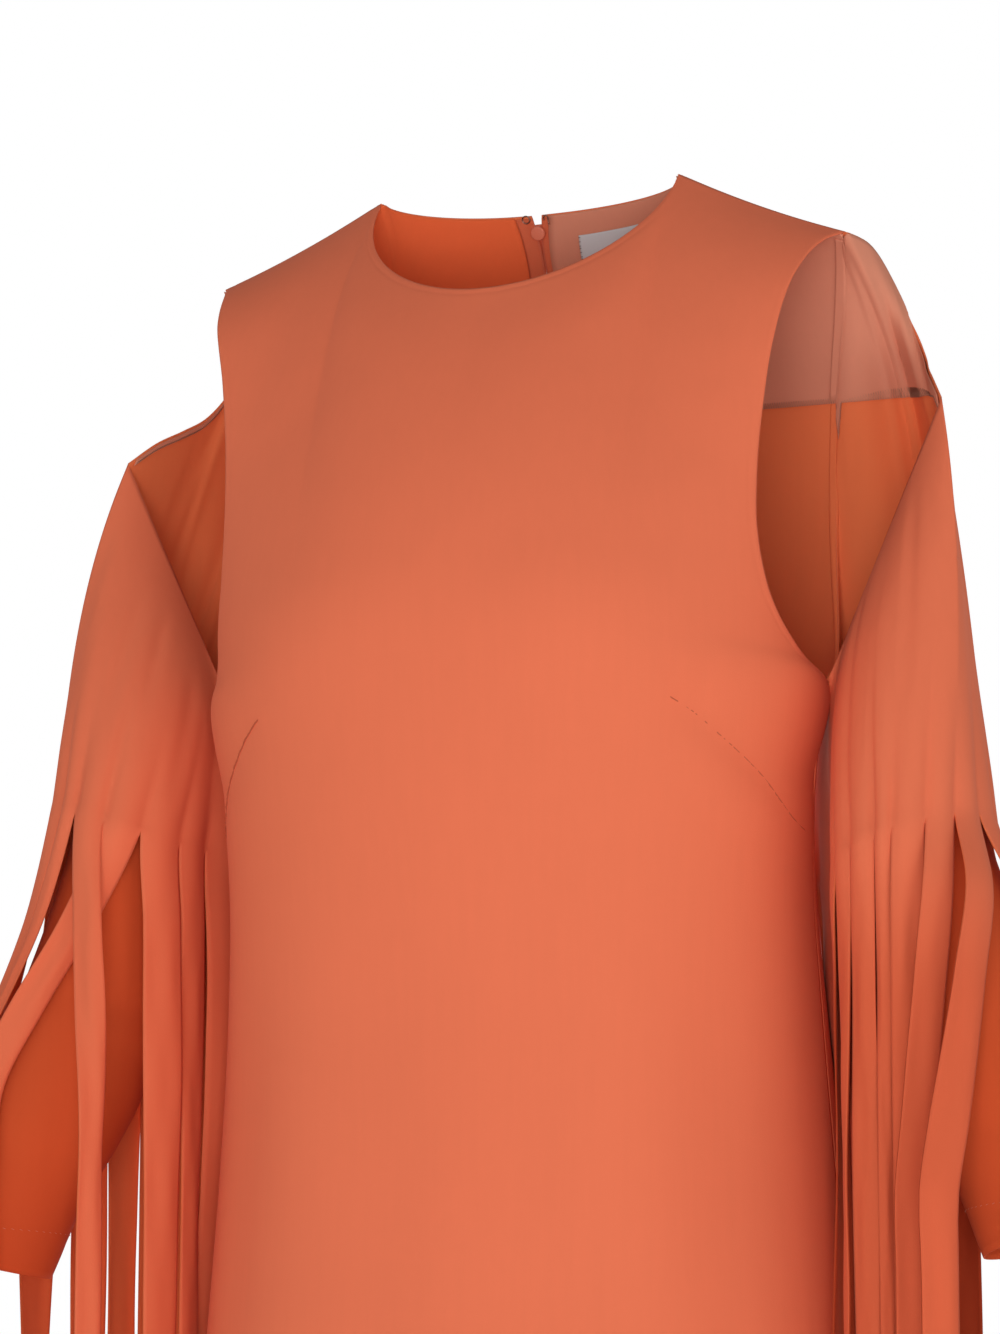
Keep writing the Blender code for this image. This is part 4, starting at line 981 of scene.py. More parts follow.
    def back(self, side: Side) -> None:
        """Build a back panel."""
        grid = self.back_grid(side)
        normal = -normals_of(grid)
        inner = self.columns[0]
        grid = self.edge_pressed(grid, normal, grid[-1, :inner + 1][::4], self.neck_stitch, 0.35)
        grid = self.edge_pressed(grid, normal, grid[:, 0][::6], self.zip_stitch, 0.25)
        grid = self.edge_pressed(grid, normal, grid[0, ::3], self.hem_stitch, 0.4)
        path = np.array([(8.2, -28.0), (8.35, -36.0), (8.5, -44.0), (8.6, -52.0)])
        self.dart_seam(f"back_dart_{side.word}", grid, path, -1.0, side, 0.0)
        node = f"back_panel_{side.word}"
        self.maker.cloth(f"{node}_cloth", grid[:, ::-1], self.maker.finishes.crepe, "coral_crepe", side,
                         CLOTH, node, ["front_panel"], lining=self.maker.finishes.reverse, rim=0)

    def facing_grid(self, side: Side) -> Array:
        """Grid of a back facing, drawn on +X.

        It is the panel's points between the facing's lower edge and the neck, moved in, with a slight wave
        along its loose edge.
        """
        rows, waves, wave_depth, under_neck = 40, 19.0, 0.5 * MM, 0.06 * CM
        grid = self.half(Face.BACK, side)
        normal = -normals_of(grid)
        level, rise = self.facing_edge
        low = crossing(grid[..., 2] - level * CM - rise * grid[..., 1])
        high = len(grid) - 1 - under_neck / np.linalg.norm(grid[-1] - grid[-2], axis=-1)
        share = np.linspace(0, 1, rows)[:, None]
        row = (1 - share) * low + share * high
        base, out = at_rows(grid, row), unit(at_rows(normal, row))
        phase = np.linspace(0, waves, grid.shape[1])[None, :, None]
        wave = wave_depth * np.sin(phase) * (1 - share[..., None])
        from_centre = np.linalg.norm(base[-1] - base[-1, 0], axis=-1)
        first = int(np.argmax(from_centre > self.from_zip[side] * CM))
        return (base - out * (CLOTH + SEAM * 3 + wave))[:, first:]

    def facing(self, side: Side) -> None:
        """Build a back facing; the wearer's left one is in the pale cloth, the right one in deep orange
        painted shade and bounced light.
        """
        grid = self.facing_grid(side)[:, ::-1]
        finish = self.maker.finishes.facing if side is Side.LEFT else self.maker.finishes.neck
        node = f"back_facing_{side.word}"
        self.maker.overlock(f"back_facing_overlock_{side.word}", grid, side)
        self.maker.cloth(f"{node}_cloth", grid, finish, "crepe_facing", side, TRIM, node,
                         [f"back_panel_{side.word}"])

    def beside_zip(self, side: Side, across: Array, down: Array, inset: float) -> Array:
        """Patch inside a back panel: distances from its centre edge by distances from the neck edge.

        Args:
            side: the panel's side.
            across: metres from the centre edge, rising.
            down: metres from the neck edge, falling.
            inset: metres in from the cloth's outer face.

        Returns:
            Grid with rows going up and columns from the centre edge.
        """
        lines = at_lengths(self.half(Face.BACK, side), across)
        patch = at_lengths(lines[::-1].transpose(1, 0, 2), down).transpose(1, 0, 2)
        return patch + normals_of(patch) * inset

    def zip_tape(self, side: Side) -> None:
        """Build a tape with its coil of teeth: a helix along the tape's edge, below the open V."""
        across = np.linspace(0.0, self.tape_width, 9) * CM
        down = np.linspace(*self.tape_span, 220) * CM
        grid = self.beside_zip(side, across, down, CLOTH + self.tape_inset * CM)
        node = f"zip_tape_{side.word}"
        self.maker.cloth(f"{node}_cloth", grid[:, ::-1], self.maker.finishes.tape, "zip_tape", side,
                         TRIM * 0.6, node, [f"back_panel_{side.word}"])
        coil_wide, coil_deep, wire, points_a_turn = 0.50 * MM, 0.34 * MM, 0.15 * MM, 8
        down = np.linspace(*self.teeth_span, 3600) * CM
        middle = self.beside_zip(side, np.array(self.teeth_place) * CM, down, CLOTH + self.teeth_inset * CM)
        across_way = unit(middle[:, 1] - middle[:, 0])
        out = unit(np.cross(across_way, np.gradient(middle[:, 0], axis=0)))
        turn = (np.arange(len(down)) * FULL_TURN / points_a_turn)[:, None]
        coil = middle[:, 0] + coil_wide * np.cos(turn) * across_way + coil_deep * np.sin(turn) * out
        self.maker.piece(f"zip_teeth_{side.word}", *tube(coil, wire, 4), self.maker.finishes.enamel,
                         "zip_tape", side)

    def neck_label(self) -> None:
        """Build the blank label inside the back neck and the dark stitches at its near end."""
        start, width, drop, height = self.label_place
        columns, rows, belly, ripple = 30, 16, 0.9 * MM, 0.2 * MM
        across = np.linspace(start, start + width, columns) * CM
        down = np.linspace(drop + height, drop, rows) * CM
        grid = self.beside_zip(Side.LEFT, across, down, CLOTH + SEAM * 3 + TRIM + 0.5 * MM)
        s, t = np.linspace(0, 1, columns)[None, :, None], np.linspace(1, 0, rows)[:, None, None]
        grid = grid + normals_of(grid) * (belly * t**2 * np.sin(math.pi * s) + ripple * np.sin(9 * s))
        self.maker.cloth("label_satin", grid[:, ::-1], self.maker.finishes.label, "label", Side.LEFT,
                         0.35 * MM, "label", ["back_facing_left"])
        stitches = []
        for row in np.linspace(1, 14, 9).astype(int):
            line = np.linspace(grid[row, 0] - 0.6 * unit(grid[row, 1] - grid[row, 0]) * MM, grid[row, 1], 4)
            line = line + normals_of(grid)[row, 0] * np.array([0.1, 0.5, 0.5, 0.1])[:, None] * MM
            stitches.append(tube(line, 0.20 * MM, 5))
        self.maker.piece("label_stitches", *joined(stitches), self.maker.finishes.dark_thread, "label")

    def hook_and_eye(self) -> None:
        """Build the wire eye and hook inside the neck corners, each with a few stitches over its wire.

        Points are (across, depth, down the zip) in millimetres from the slider.
        """
        down = np.array(self.zip_way)
        ways = np.array([[1, 0, 0], [0, -down[2], down[1]], down])
        origin = np.array(self.slider_place) * CM
        depth = self.wire_depth
        wire, thread = 0.42 * MM, 0.18 * MM
        (eye_x, eye_down), eye_radius = self.eye_centre, self.eye_radius
        bend_x, bend_down, bend_radius = self.hook_bend
        leg_x, tip_x = bend_x + bend_radius, bend_x - bend_radius
        turn = np.linspace(0, FULL_TURN, 48, endpoint=False)
        ring = np.stack([eye_x + eye_radius * np.cos(turn), 0 * turn + depth,
                         eye_down + eye_radius * np.sin(turn)], -1)
        bend = np.linspace(0, math.pi, 24)
        arc = np.stack([bend_x + bend_radius * np.cos(bend), depth - 0.4 * np.sin(bend),
                        bend_down - bend_radius * np.sin(bend)], -1)
        leg = np.linspace((leg_x, depth, self.hook_top), (leg_x, depth, bend_down + 0.2), 8)
        tip = np.linspace((tip_x, depth, bend_down + 0.2), (tip_x, depth, self.hook_tip), 5)
        for name, path, closed in (("eye", ring, True), ("hook", np.concatenate([leg, arc, tip]), False)):
            self.maker.piece(f"{name}_wire", *tube(origin + (path * MM) @ ways, wire, 12, closed),
                             self.maker.finishes.metal, "pale_metal", replaces=[name])
        stitches = []
        for x, d in self.wire_stitches:
            across = (1.0, 0.0, 0.0) if x > 0 else unit(np.array([x - eye_x, 0.0, d - eye_down]))
            swing = np.linspace(-1, 1, 9)
            over = np.array([x, depth, d]) + swing[:, None] * 0.9 * np.array(across)
            over[:, 1] += 0.5 - 1.1 * np.cos(swing * math.pi / 2)
            stitches.append(tube(origin + (over * MM) @ ways, thread, 5))
        self.maker.piece("hook_stitches", *joined(stitches), self.maker.finishes.thread, "coral_crepe")

    def build(self) -> None:
        """Build the body of the dress."""
        self.front()
        for side in Side:
            self.back(side)
            self.facing(side)
            self.zip_tape(side)
        self.neck_label()
        for node, rides_on in (("zip_slider", "dress"), ("zip_pull", "zip_pull")):
            self.maker.rounded(node, self.maker.finishes.enamel, "zip_enamel", 0.22 * MM, rides_on)
        self.hook_and_eye()


# ---------------------------------------------------------------- sleeves


@dataclass
class Sleeve:
    """Outer sleeve cut into strips, its edge facing and the plain inner sleeve, all drawn on +X.

    The outer sleeve is a tube: each column runs straight from the ring where the slashes start to the
    upper edge, rounded out by a swell. The strips hang on from the ring, each over two of its columns.
    """

    maker: Maker
    side: Side
    body: Bodice
    tilt: float = 1.4
    centre: tuple = (23.8, -2.7)
    radii: tuple = (4.4, 6.5)
    lobe_turn: float = 318.0
    lobe_reach: tuple = (30.0, 20.0)
    lobe_pull: tuple = (-4.7, 2.9)
    front_steps: int = 14
    cap_steps: int = 9
    arm_steps: int = 9
    swell: float = 1.0
    top_swell: float = 0.45
    shoulder_fill: float = 5.0
    shoulder_reach: float = 2.0
    fold_reach: float = 5.5
    front_foot: tuple = (18.29, -0.6, -30.5)
    strip_gap: float = 0.10
    strip_end: float = -96.0
    strip_clear: float = 1.1
    body_clear: float = 0.45
    cuff_drop: float = 3.0
    cuff_tilt: float = 0.24
    inner_top: float = -33.0
    inner_inset: float = 0.32
    inner_hem: float = 2.0
    cut: tuple = (0.48, 0.93)
    column_steps: int = 6
    rows: int = 60
    # Strength of the painted shade down the strips, stronger on the left.
    fallen_shade: dict = field(default_factory=lambda: {Side.LEFT: 0.85, Side.RIGHT: 0.35})

    @property
    def slash_z(self) -> float:
        """Level of the slashes."""
        return -40.4 if self.side is Side.LEFT else -37.2

    @property
    def elbow_z(self) -> float:
        """Level by which the strips have slid to their places on the arm."""
        return -60.0 if self.side is Side.LEFT else -51.5

    @property
    def goal_z(self) -> float:
        """Level of the arm's section that the strips' places are counted round."""
        return -51.0 if self.side is Side.LEFT else -48.5

    def turns(self, column: Array) -> Array:
        """Turn of the ring at columns: each strip takes two of them."""
        slash = np.radians(SLASHES[self.side])
        knots = np.append(slash, slash[0] + FULL_TURN)
        return np.interp(column / 2, np.arange(len(knots)), knots)

    def top(self, column: Array) -> Array:
        """Upper edge (cm) at columns: front edge, free shoulder edge, back armhole seam."""
        share = np.clip(column / self.front_steps, 0, 1)[:, None]
        front = (1 - share) * np.array(self.front_foot) + share * np.array(CAP_EDGE[0])
        cap = along(CAP_EDGE, np.clip((column - self.front_steps) / self.cap_steps, 0, 1))
        row = np.clip(self.front_steps + self.cap_steps + self.arm_steps - column, 0, self.arm_steps)
        height = np.interp(row, np.arange(len(HEIGHTS)), HEIGHTS)
        seam = along(BACK_ARMHOLE, height)[:, :3] - np.array([0.03, 0, 0])
        last = self.front_steps + self.cap_steps
        behind = np.where(column[:, None] <= last, cap, seam)
        return np.where(column[:, None] <= self.front_steps, front, behind)

    def ring(self, column: Array) -> Array:
        """Ring where the slashes start (cm): an ellipse that rises towards the outside.

        Behind the body a bell of the turn, wider on its outer side, draws it in to the back armhole.
        """
        turn = self.turns(column)
        apart = (np.degrees(turn) - self.lobe_turn + 180) % 360 - 180
        lobe = np.exp(-((apart / np.where(apart < 0, *self.lobe_reach)) ** 2))
        return np.stack([self.centre[0] - self.radii[0] * np.cos(turn) + self.lobe_pull[0] * lobe,
                         self.centre[1] - self.radii[1] * np.sin(turn) + self.lobe_pull[1] * lobe,
                         self.slash_z - self.tilt * np.cos(turn)], -1)

    def upper(self, column: Array, t: Array) -> Array:
        """Sleeve from the ring (t = 0) to its upper edge (t = 1) in cm.

        A point is (1 - t) times the ring plus t times the edge, its bends at underarm and shoulder
        softened below the edge, plus a swell of (4 t (1 - t)) to the power 1.2 out from the arm, plus a
        smaller one near the edge, t cubed times (1 - t) over its greatest value, 27 / 256, plus the
        fullness behind the shoulder.
        """
        coarse = np.arange(self.front_steps + self.cap_steps + self.arm_steps, dtype=float)
        edge = self.top(coarse)
        soft = edge.copy()
        keep = np.exp(-((coarse - self.front_steps - self.cap_steps / 3) / self.fold_reach) ** 4)[:, None]
        for _ in range(3):
            mean = (np.roll(soft, 1, axis=0) + 2 * soft + np.roll(soft, -1, axis=0))[:, :2] / 4
            soft[:, :2] = keep * soft[:, :2] + (1 - keep) * mean
        shift = np.concatenate([soft - edge, (soft - edge)[:1]])
        shift = through(np.arange(len(shift)), shift, column)
        t = t[:, None, None]
        turn = self.turns(column)
        outward = np.stack([-np.cos(turn), -np.sin(turn), 0 * turn], -1)
        grid = (1 - t) * self.ring(column) + t * (self.top(column) + shift * (1 - t**6))
        swell = (0.2 + 0.8 * np.abs(np.sin(turn)))[:, None] * outward
        high_bell = t**3 * (1 - t) * 256 / 27
        grid = grid + swell * (self.swell * (4 * t * (1 - t)) ** 1.2 + self.top_swell * high_bell)
        near = np.exp(-((column - self.front_steps - self.cap_steps) / self.shoulder_reach) ** 2)
        grid[..., 1] += self.shoulder_fill * near * high_bell[..., 0]
        return grid

    def pleats(self, column: Array, t: Array) -> Array:
        """Depth (mm) of the pleats above the slashes: a trough at each slash that dies out upwards."""
        rng = np.random.default_rng(7 + self.side.value)
        size = rng.uniform(0.5, 1.5, STRIP_COUNT)
        reach = rng.uniform(0.18, 0.42, STRIP_COUNT)
        strip = (column / 2) % STRIP_COUNT
        nearest = np.round(strip).astype(int) % STRIP_COUNT
        offset = np.abs(strip - np.round(strip))
        bell = np.exp(-((offset / 0.13) ** 2)) * size[nearest]
        fade = np.exp(-((t[:, None] / reach[nearest]) ** 2)) * smooth(-0.05, 0.04, t)[:, None]
        wave = 0.9 * np.cos(FULL_TURN * strip) * np.exp(-((t[:, None] / 0.3) ** 2))
        return 1.6 * bell * fade + wave

    def drapes(self) -> tuple:
        """Soft folds of the outer sleeve."""
        if self.side is Side.LEFT:
            return (SleeveFold(58, 0.25, 0.95, 5, 1.2), SleeveFold(84, 0.10, 0.80, 7, -1.3),
                    SleeveFold(104, 0.30, 0.98, 6, 1.5), SleeveFold(128, 0.05, 0.70, 9, 1.1),
                    SleeveFold(30, 0.15, 0.80, 7, 1.6), SleeveFold(200, 0.10, 0.90, 9, 1.8),
                    SleeveFold(236, 0.05, 0.80, 8, -1.6), SleeveFold(262, 0.10, 0.90, 8, 2.0),
                    SleeveFold(300, 0.10, 0.80, 8, 1.5))
        return (SleeveFold(70, 0.45, 0.90, 5, 1.6), SleeveFold(92, 0.30, 0.88, 6, 1.4),
                SleeveFold(112, 0.10, 0.75, 7, -1.2), SleeveFold(132, 0.20, 0.95, 8, 1.3),
                SleeveFold(36, 0.10, 0.80, 7, 1.4), SleeveFold(196, 0.10, 0.90, 9, 1.7),
                SleeveFold(228, 0.10, 0.80, 8, -1.5), SleeveFold(266, 0.05, 0.90, 8, 1.9),
                SleeveFold(306, 0.10, 0.85, 8, 1.4))

    def creased(self, column: Array, t: Array) -> Array:
        """Upper sleeve in metres with pleats and soft folds moved in along its normals."""
        grid = self.upper(column, t) * CM
        normal = normals_of(grid, wrap=True)
        depth = self.pleats(column, t)
        degrees = np.degrees(self.turns(column))
        for fold in self.drapes():
            gap = (degrees - fold.turn + 180) % 360 - 180
            reach = smooth(fold.low - 0.05, fold.low + 0.2, t) * (1 - smooth(fold.high - 0.2, fold.high, t))
            depth = depth + fold.depth * reach[:, None] * np.exp(-((gap / fold.width) ** 2))[None, :]
        depth = depth * (1 - smooth(0.96, 1.0, t))[:, None]
        return grid - normal * (depth * MM)[..., None]

    @staticmethod
    def section(rows: Sequence, z: float, drop: float) -> Optional[tuple[Array, Array]]:
        """Centre and radii of a table's section at height z, or None well below its last row."""
        ordered = sorted(rows)
        if z < ordered[0].z - drop:
            return None
        value = through([r.z for r in ordered], [r[1:] for r in ordered], max(z, ordered[0].z))[0]
        return value[:2], value[2:]

    @staticmethod
    def moved_out(p: Array, centre: Array, radii: Array) -> tuple[Array, float, Array]:
        """A plan point moved out of an ellipse if inside, how free it is, and the way out."""
        reach = float(np.linalg.norm((p - centre) / radii))
        way = unit((p - centre) / radii**2)
        if reach >= 1:
            return p, min((reach - 1) / 0.25, 1.0), way
        return centre + (p - centre) / reach, 0.0, way

    def hang(self, start: Array, row: Strip, levels: Array, across: Array, slash_z: float) -> tuple:
        """Places, edge directions and freedom of a strip at the levels.

        It slides to its place on the arm by the elbow, then falls straight, moving over arm and skirt.
        """
        p = np.array(start)
        goal = p
        if row.place is not None:
            centre, radii = self.section(INNER_SLEEVE, self.goal_z, self.cuff_drop)
            angle = math.radians(row.place)
            way = np.array([math.cos(angle), math.sin(angle)])
            goal = centre - (radii + self.strip_clear + row.lift) * way
        elif row.lift:
            goal = p + across[::-1] * np.array([1, -1]) * row.lift
        places, ways, frees = [], [], []
        slid = 0.0
        for z in levels:
            share = min((slash_z - z) / (slash_z - self.elbow_z), 1.0) ** 1.3
            p = p + (goal - np.array(start)) * (share - slid)
            slid = share
            free, toward = 1.0, np.zeros(2)
            arm = self.section(INNER_SLEEVE, z, self.cuff_drop)
            if arm:
                p, free, way = self.moved_out(p, arm[0], arm[1] + self.strip_clear + row.lift)
                toward = toward + (1 - free) * way
            half_width, centre_y, half_depth, flute = (float(v[0]) for v in self.body.section(z))
            radii = np.array([half_width, half_depth]) * (1 + flute) + self.body_clear
            p, clear, way = self.moved_out(p, np.array([0, centre_y]), radii)
            toward = toward - (1 - clear) * way
            places.append(p)
            frees.append(min(free, clear))
            follow = np.interp(z, (-66.0, -46.0), (1.2, 0.25))
            ways.append(unit(across + follow * np.array([-toward[1], toward[0]])))
        return np.array(places), np.array(ways), np.array(frees)

    def strip(self, index: int, rows: int = 72) -> Array:
        """Grid of one strip in metres, rows going up to the ring.

        Its two edges are curves through the places where it hangs. Between them the cloth is a shallow
        arch, 4 s (1 - s) times its crown, that leaves the ring's own curve over the first centimetres; a
        slow twist and a ripple, both sines of the depth, make it uneven.
        """
        leave_depth = 4.5
        row = STRIPS[self.side][index]
        steps = 2 * self.column_steps
        own = (index * steps + np.arange(steps + 1)) % (STRIP_COUNT * steps)
        arc = self.creased_ring()[own] / CM
        left, right = arc[0], arc[-1]
        levels = np.array(LEVELS + (self.strip_end + row.trim,))
        middle = (left + right) / 2
        across = unit((right - left)[:2])
        places, ways, free = self.hang(middle[:2], row, levels, across, middle[2])
        share = (middle[2] - levels) / (middle[2] - levels[-1])
        turn = np.radians(np.interp(share, [0, 0.3, 1], [0, row.turn_mid, row.turn_end]) * free)
        width = np.linalg.norm(right - left) - self.strip_gap
        way = np.stack([ways[:, 0] * np.cos(turn) - ways[:, 1] * np.sin(turn),
                        ways[:, 0] * np.sin(turn) + ways[:, 1] * np.cos(turn), 0 * turn], 1)
        centre = np.stack([places[:, 0], places[:, 1], levels], 1)
        knots = np.concatenate([[0], middle[2] - levels])
        lefts = np.concatenate([[left], centre - way * width / 2])
        rights = np.concatenate([[right], centre + way * width / 2])
        bent, straight = np.linspace(0, knots[5], rows * 2 // 3), np.linspace(knots[5], knots[-1], rows // 3)
        at = np.concatenate([bent[:-1], straight])
        fall = self.fall_slope(index)
        lefts = through(knots, lefts, at, first=(fall + (lefts[1] - lefts[0]) / knots[1]) / 2)
        rights = through(knots, rights, at, first=(fall + (rights[1] - rights[0]) / knots[1]) / 2)
        s = np.linspace(0, 1, steps + 1)[None, :, None]
        grid = (1 - s) * lefts[:, None] + s * rights[:, None]
        chord = (1 - s) * left + s * right
        leave = np.exp(-((at / leave_depth) ** 2))[:, None, None]
        outward = unit(np.cross(unit(rights - lefts), (0, 0, -1)))[:, None]
        rng = np.random.default_rng(100 * index + 11 + self.side.value)
        crown, lean, beat, phase = rng.uniform((0.10, -0.12, 0.16, 0), (0.28, 0.12, 0.30, 6.28))
        depth = crown * 4 * s * (1 - s) + lean * np.sin(FULL_TURN * s)
        sway = 0.16 * np.sin(beat * at + phase)[:, None, None] * smooth(3, 14, at)[:, None, None]
        ripple = 0.05 * np.sin(9.5 * s + phase) * np.sin(0.5 * at + phase)[:, None, None]
        inward = (1 - leave) * (depth + sway * (s - 0.4) + ripple)
        return (grid + leave * (arc[None] - chord) - outward * inward)[::-1] * CM

    def creased_shell(self) -> Array:
        """The whole upper sleeve in metres, rows from the ring up, on fine columns."""
        column = np.arange(2 * STRIP_COUNT * self.column_steps) / self.column_steps
        return self.creased(column, np.linspace(0, 1, self.rows))

    def creased_ring(self) -> Array:
        """The ring's points in metres, one a fine column."""
        return self.creased_shell()[0]

    def fall_slope(self, index: int) -> Array:
        """Direction per cm of depth in which the sleeve reaches the ring in the middle of a strip."""
        column = np.array([2.0 * index + 1.0])
        low, high = self.upper(column, np.array([0.0, 0.02]))[:, 0]
        drop = low - high
        return drop / -drop[2]

    def outer(self) -> None:
        """Build the outer sleeve with its strips as one sheet, its painted shade growing down the strips."""
        upper = self.creased_shell()
        parts = [(upper.reshape(-1, 3), quads(*upper.shape[:2], wrap=True))]
        for index in range(STRIP_COUNT):
            grid = self.strip(index)
            parts.append((grid.reshape(-1, 3), quads(*grid.shape[:2])))
        points, faces = joined(parts)
        node = f"sleeve_overlay_{self.side.word}"
        item = self.maker.piece(f"{node}_cloth", points, faces, self.maker.finishes.strips, "coral_crepe",
                                self.side, CLOTH, [node], merge=True, lining=self.maker.finishes.reverse)
        place = np.zeros(3 * len(item.data.vertices))
        item.data.vertices.foreach_get("co", place)
        # Painted shade among the strips: an attribute that grows over 12 cm, from 2 cm above the slashes
        # down.
        depth = (self.slash_z + 2.0) * CM - place[2::3]
        fallen = item.data.attributes.new("fallen", "FLOAT", "POINT")
        fallen.data.foreach_set("value", self.fallen_shade[self.side] * smooth(0.0, 0.12, depth))

    def inner_rings(self, turn: Array) -> list:
        """Rings of the inner sleeve (cm) at turns, from the cuff up; the cuff slants."""
        rings = []
        for arm in sorted(INNER_SLEEVE):
            slant = 0.0 if rings else self.cuff_tilt
            x = -arm.across * np.cos(turn)
            rings.append(np.stack([arm.x + x, arm.y - arm.deep * np.sin(turn), arm.z + slant * x], -1))
        return rings

    def inner_edge(self, turn: Array) -> Array:
        """Upper edge of the inner sleeve (cm): the outer sleeve's points at one level, moved in."""
        columns = np.arange(2.0 * STRIP_COUNT)
        last_turn, last_column = 7.5, 32.6
        knots = np.interp(np.mod(turn, FULL_TURN), np.append(self.turns(columns), last_turn),
                          np.append(columns, last_column)) % (2 * STRIP_COUNT)
        shell = self.upper(knots, np.linspace(0, 1, 40))
        top = at_rows(shell, crossing(shell[..., 2] - self.inner_top))
        middle_x, middle_y = self.centre
        inward = unit(np.stack([middle_x - top[:, 0], middle_y - top[:, 1], 0 * top[:, 0]], -1))
        return top + inward * self.inner_inset

    def inner_creases(self, turn: Array, z: Array) -> Array:
        """Depth (mm) of the inner sleeve's creases: bells of the height, slanting round the elbow.

        Each of the three elbow wrinkles fades out on the side away from its turn; three soft waves run
        lengthwise under the elbow.
        """
        first = np.exp(-(((z + 47.5 + 1.2 * np.cos(turn)) / 0.8) ** 2))
        second = np.exp(-(((z + 51.5 - 1.5 * np.sin(turn)) / 0.9) ** 2))
        third = np.exp(-(((z + 56.0 + 1.0 * np.cos(turn - 1)) / 1.1) ** 2))
        first = first * smooth(-0.2, 0.9, np.cos(turn - 0.5))
        second = second * smooth(0, 1, np.cos(turn + 0.6))
        third = third * smooth(0, 1, np.sin(turn))
        lengthwise = 0.5 * np.sin(3 * turn + 0.12 * z) * smooth(-62, -50, z)
        return 1.8 * (first + 0.8 * second + 0.7 * third) + lengthwise

    def inner(self) -> None:
        """Build the inner sleeve: a bent tube with elbow wrinkles and a stitched, slightly raised hem."""
        turn = np.linspace(0, FULL_TURN, 128, endpoint=False)
        grid = finer(np.array(self.inner_rings(turn) + [self.inner_edge(turn)]), 10)
        normal = normals_of(grid, wrap=True)
        share = np.linspace(0, 1, len(grid))[:, None]
        up = np.cumsum(np.linalg.norm(np.diff(grid, axis=0, prepend=grid[:1]), axis=-1), axis=0)
        hem = 0.5 * np.exp(-(((up - self.inner_hem) / 0.12) ** 2)) - 0.25 * (1 - smooth(1.7, 2.1, up))
        depth = self.inner_creases(turn, grid[..., 2]) * (1 - share**6) + hem
        grid = (grid - normal * (depth * MM / CM)[..., None]) * CM
        node = f"sleeve_inner_{self.side.word}"
        # The inner sleeve's crepe carries painted shade.
        self.maker.cloth(f"{node}_cloth", grid, self.maker.finishes.inside, "coral_crepe_inside", self.side,
                         CLOTH, node, [f"sleeve_overlay_{self.side.word}"], wrap=True)
        self.hem_stitches(grid, up)

    def hem_stitches(self, grid: Array, up: Array) -> None:
        """Short slanting stitches round the inner sleeve's hem, 5 mm apart, just proud of the cloth."""
        pitch, reach, thread, slant = 5.0 * MM, 2.2 * MM, 0.16 * MM, 0.3 * MM
        row = int(np.argmin(np.abs(up.mean(axis=1) - self.inner_hem)))
        ring = np.concatenate([grid[row], grid[row, :1]])
        normal = normals_of(grid, wrap=True)[row]
        normal = np.concatenate([normal, normal[:1]])
        length = lengths_along(ring)
        stitches = []
        for start in np.arange(2 * MM, length[-1] - 4 * MM, pitch):
            places = np.linspace(start, start + reach, 4)
            out = read_along(normal, length, places)
            line = read_along(ring, length, places) + out * np.array([0.0, 0.3, 0.3, 0.0])[:, None] * MM
            line[:, 2] += np.linspace(-slant, slant, 4)
            stitches.append(tube(line, thread, 5))
        self.maker.piece(f"hem_stitches_{self.side.word}", *joined(stitches), self.maker.finishes.thread,
                         "coral_crepe_inside", self.side)

    def lining_band(self, column: Array, rows: int) -> Array:
        """Sheet (m) just inside the sleeve's upper edge, from its loose edge up to its sewn edge.

        The loose edge is a set width under the free edge, or the facing's level where that is lower.
        """
        shell = self.creased_shell()
        normal = normals_of(shell, wrap=True)
        place = column * self.column_steps
        before = np.floor(place).astype(int)
        share = (place - before)[None, :, None]
        before, after = before % shell.shape[1], (before + 1) % shell.shape[1]
        shell = (1 - share) * shell[:, before] + share * shell[:, after]
        normal = unit((1 - share) * normal[:, before] + share * normal[:, after])
        step = np.linalg.norm(shell[-1] - shell[-2], axis=-1)
        level, rise = self.body.facing_edge
        deep = crossing(shell[..., 2] - level * CM - rise * shell[..., 1])
        narrow = self.rows - 1 - self.band_width * CM / step
        behind = smooth(*self.deep_columns, column)
        low = narrow + behind * (np.minimum(deep, narrow) - narrow)
        roll = 0.14 - 0.12 * smooth(22.0, 24.0, column)
        row = low + np.linspace(0, 1, rows)[:, None] * (self.rows - 1 - roll * CM / step - low)
        return at_rows(shell, row) - unit(at_rows(normal, row)) * (CLOTH + 0.7 * MM)

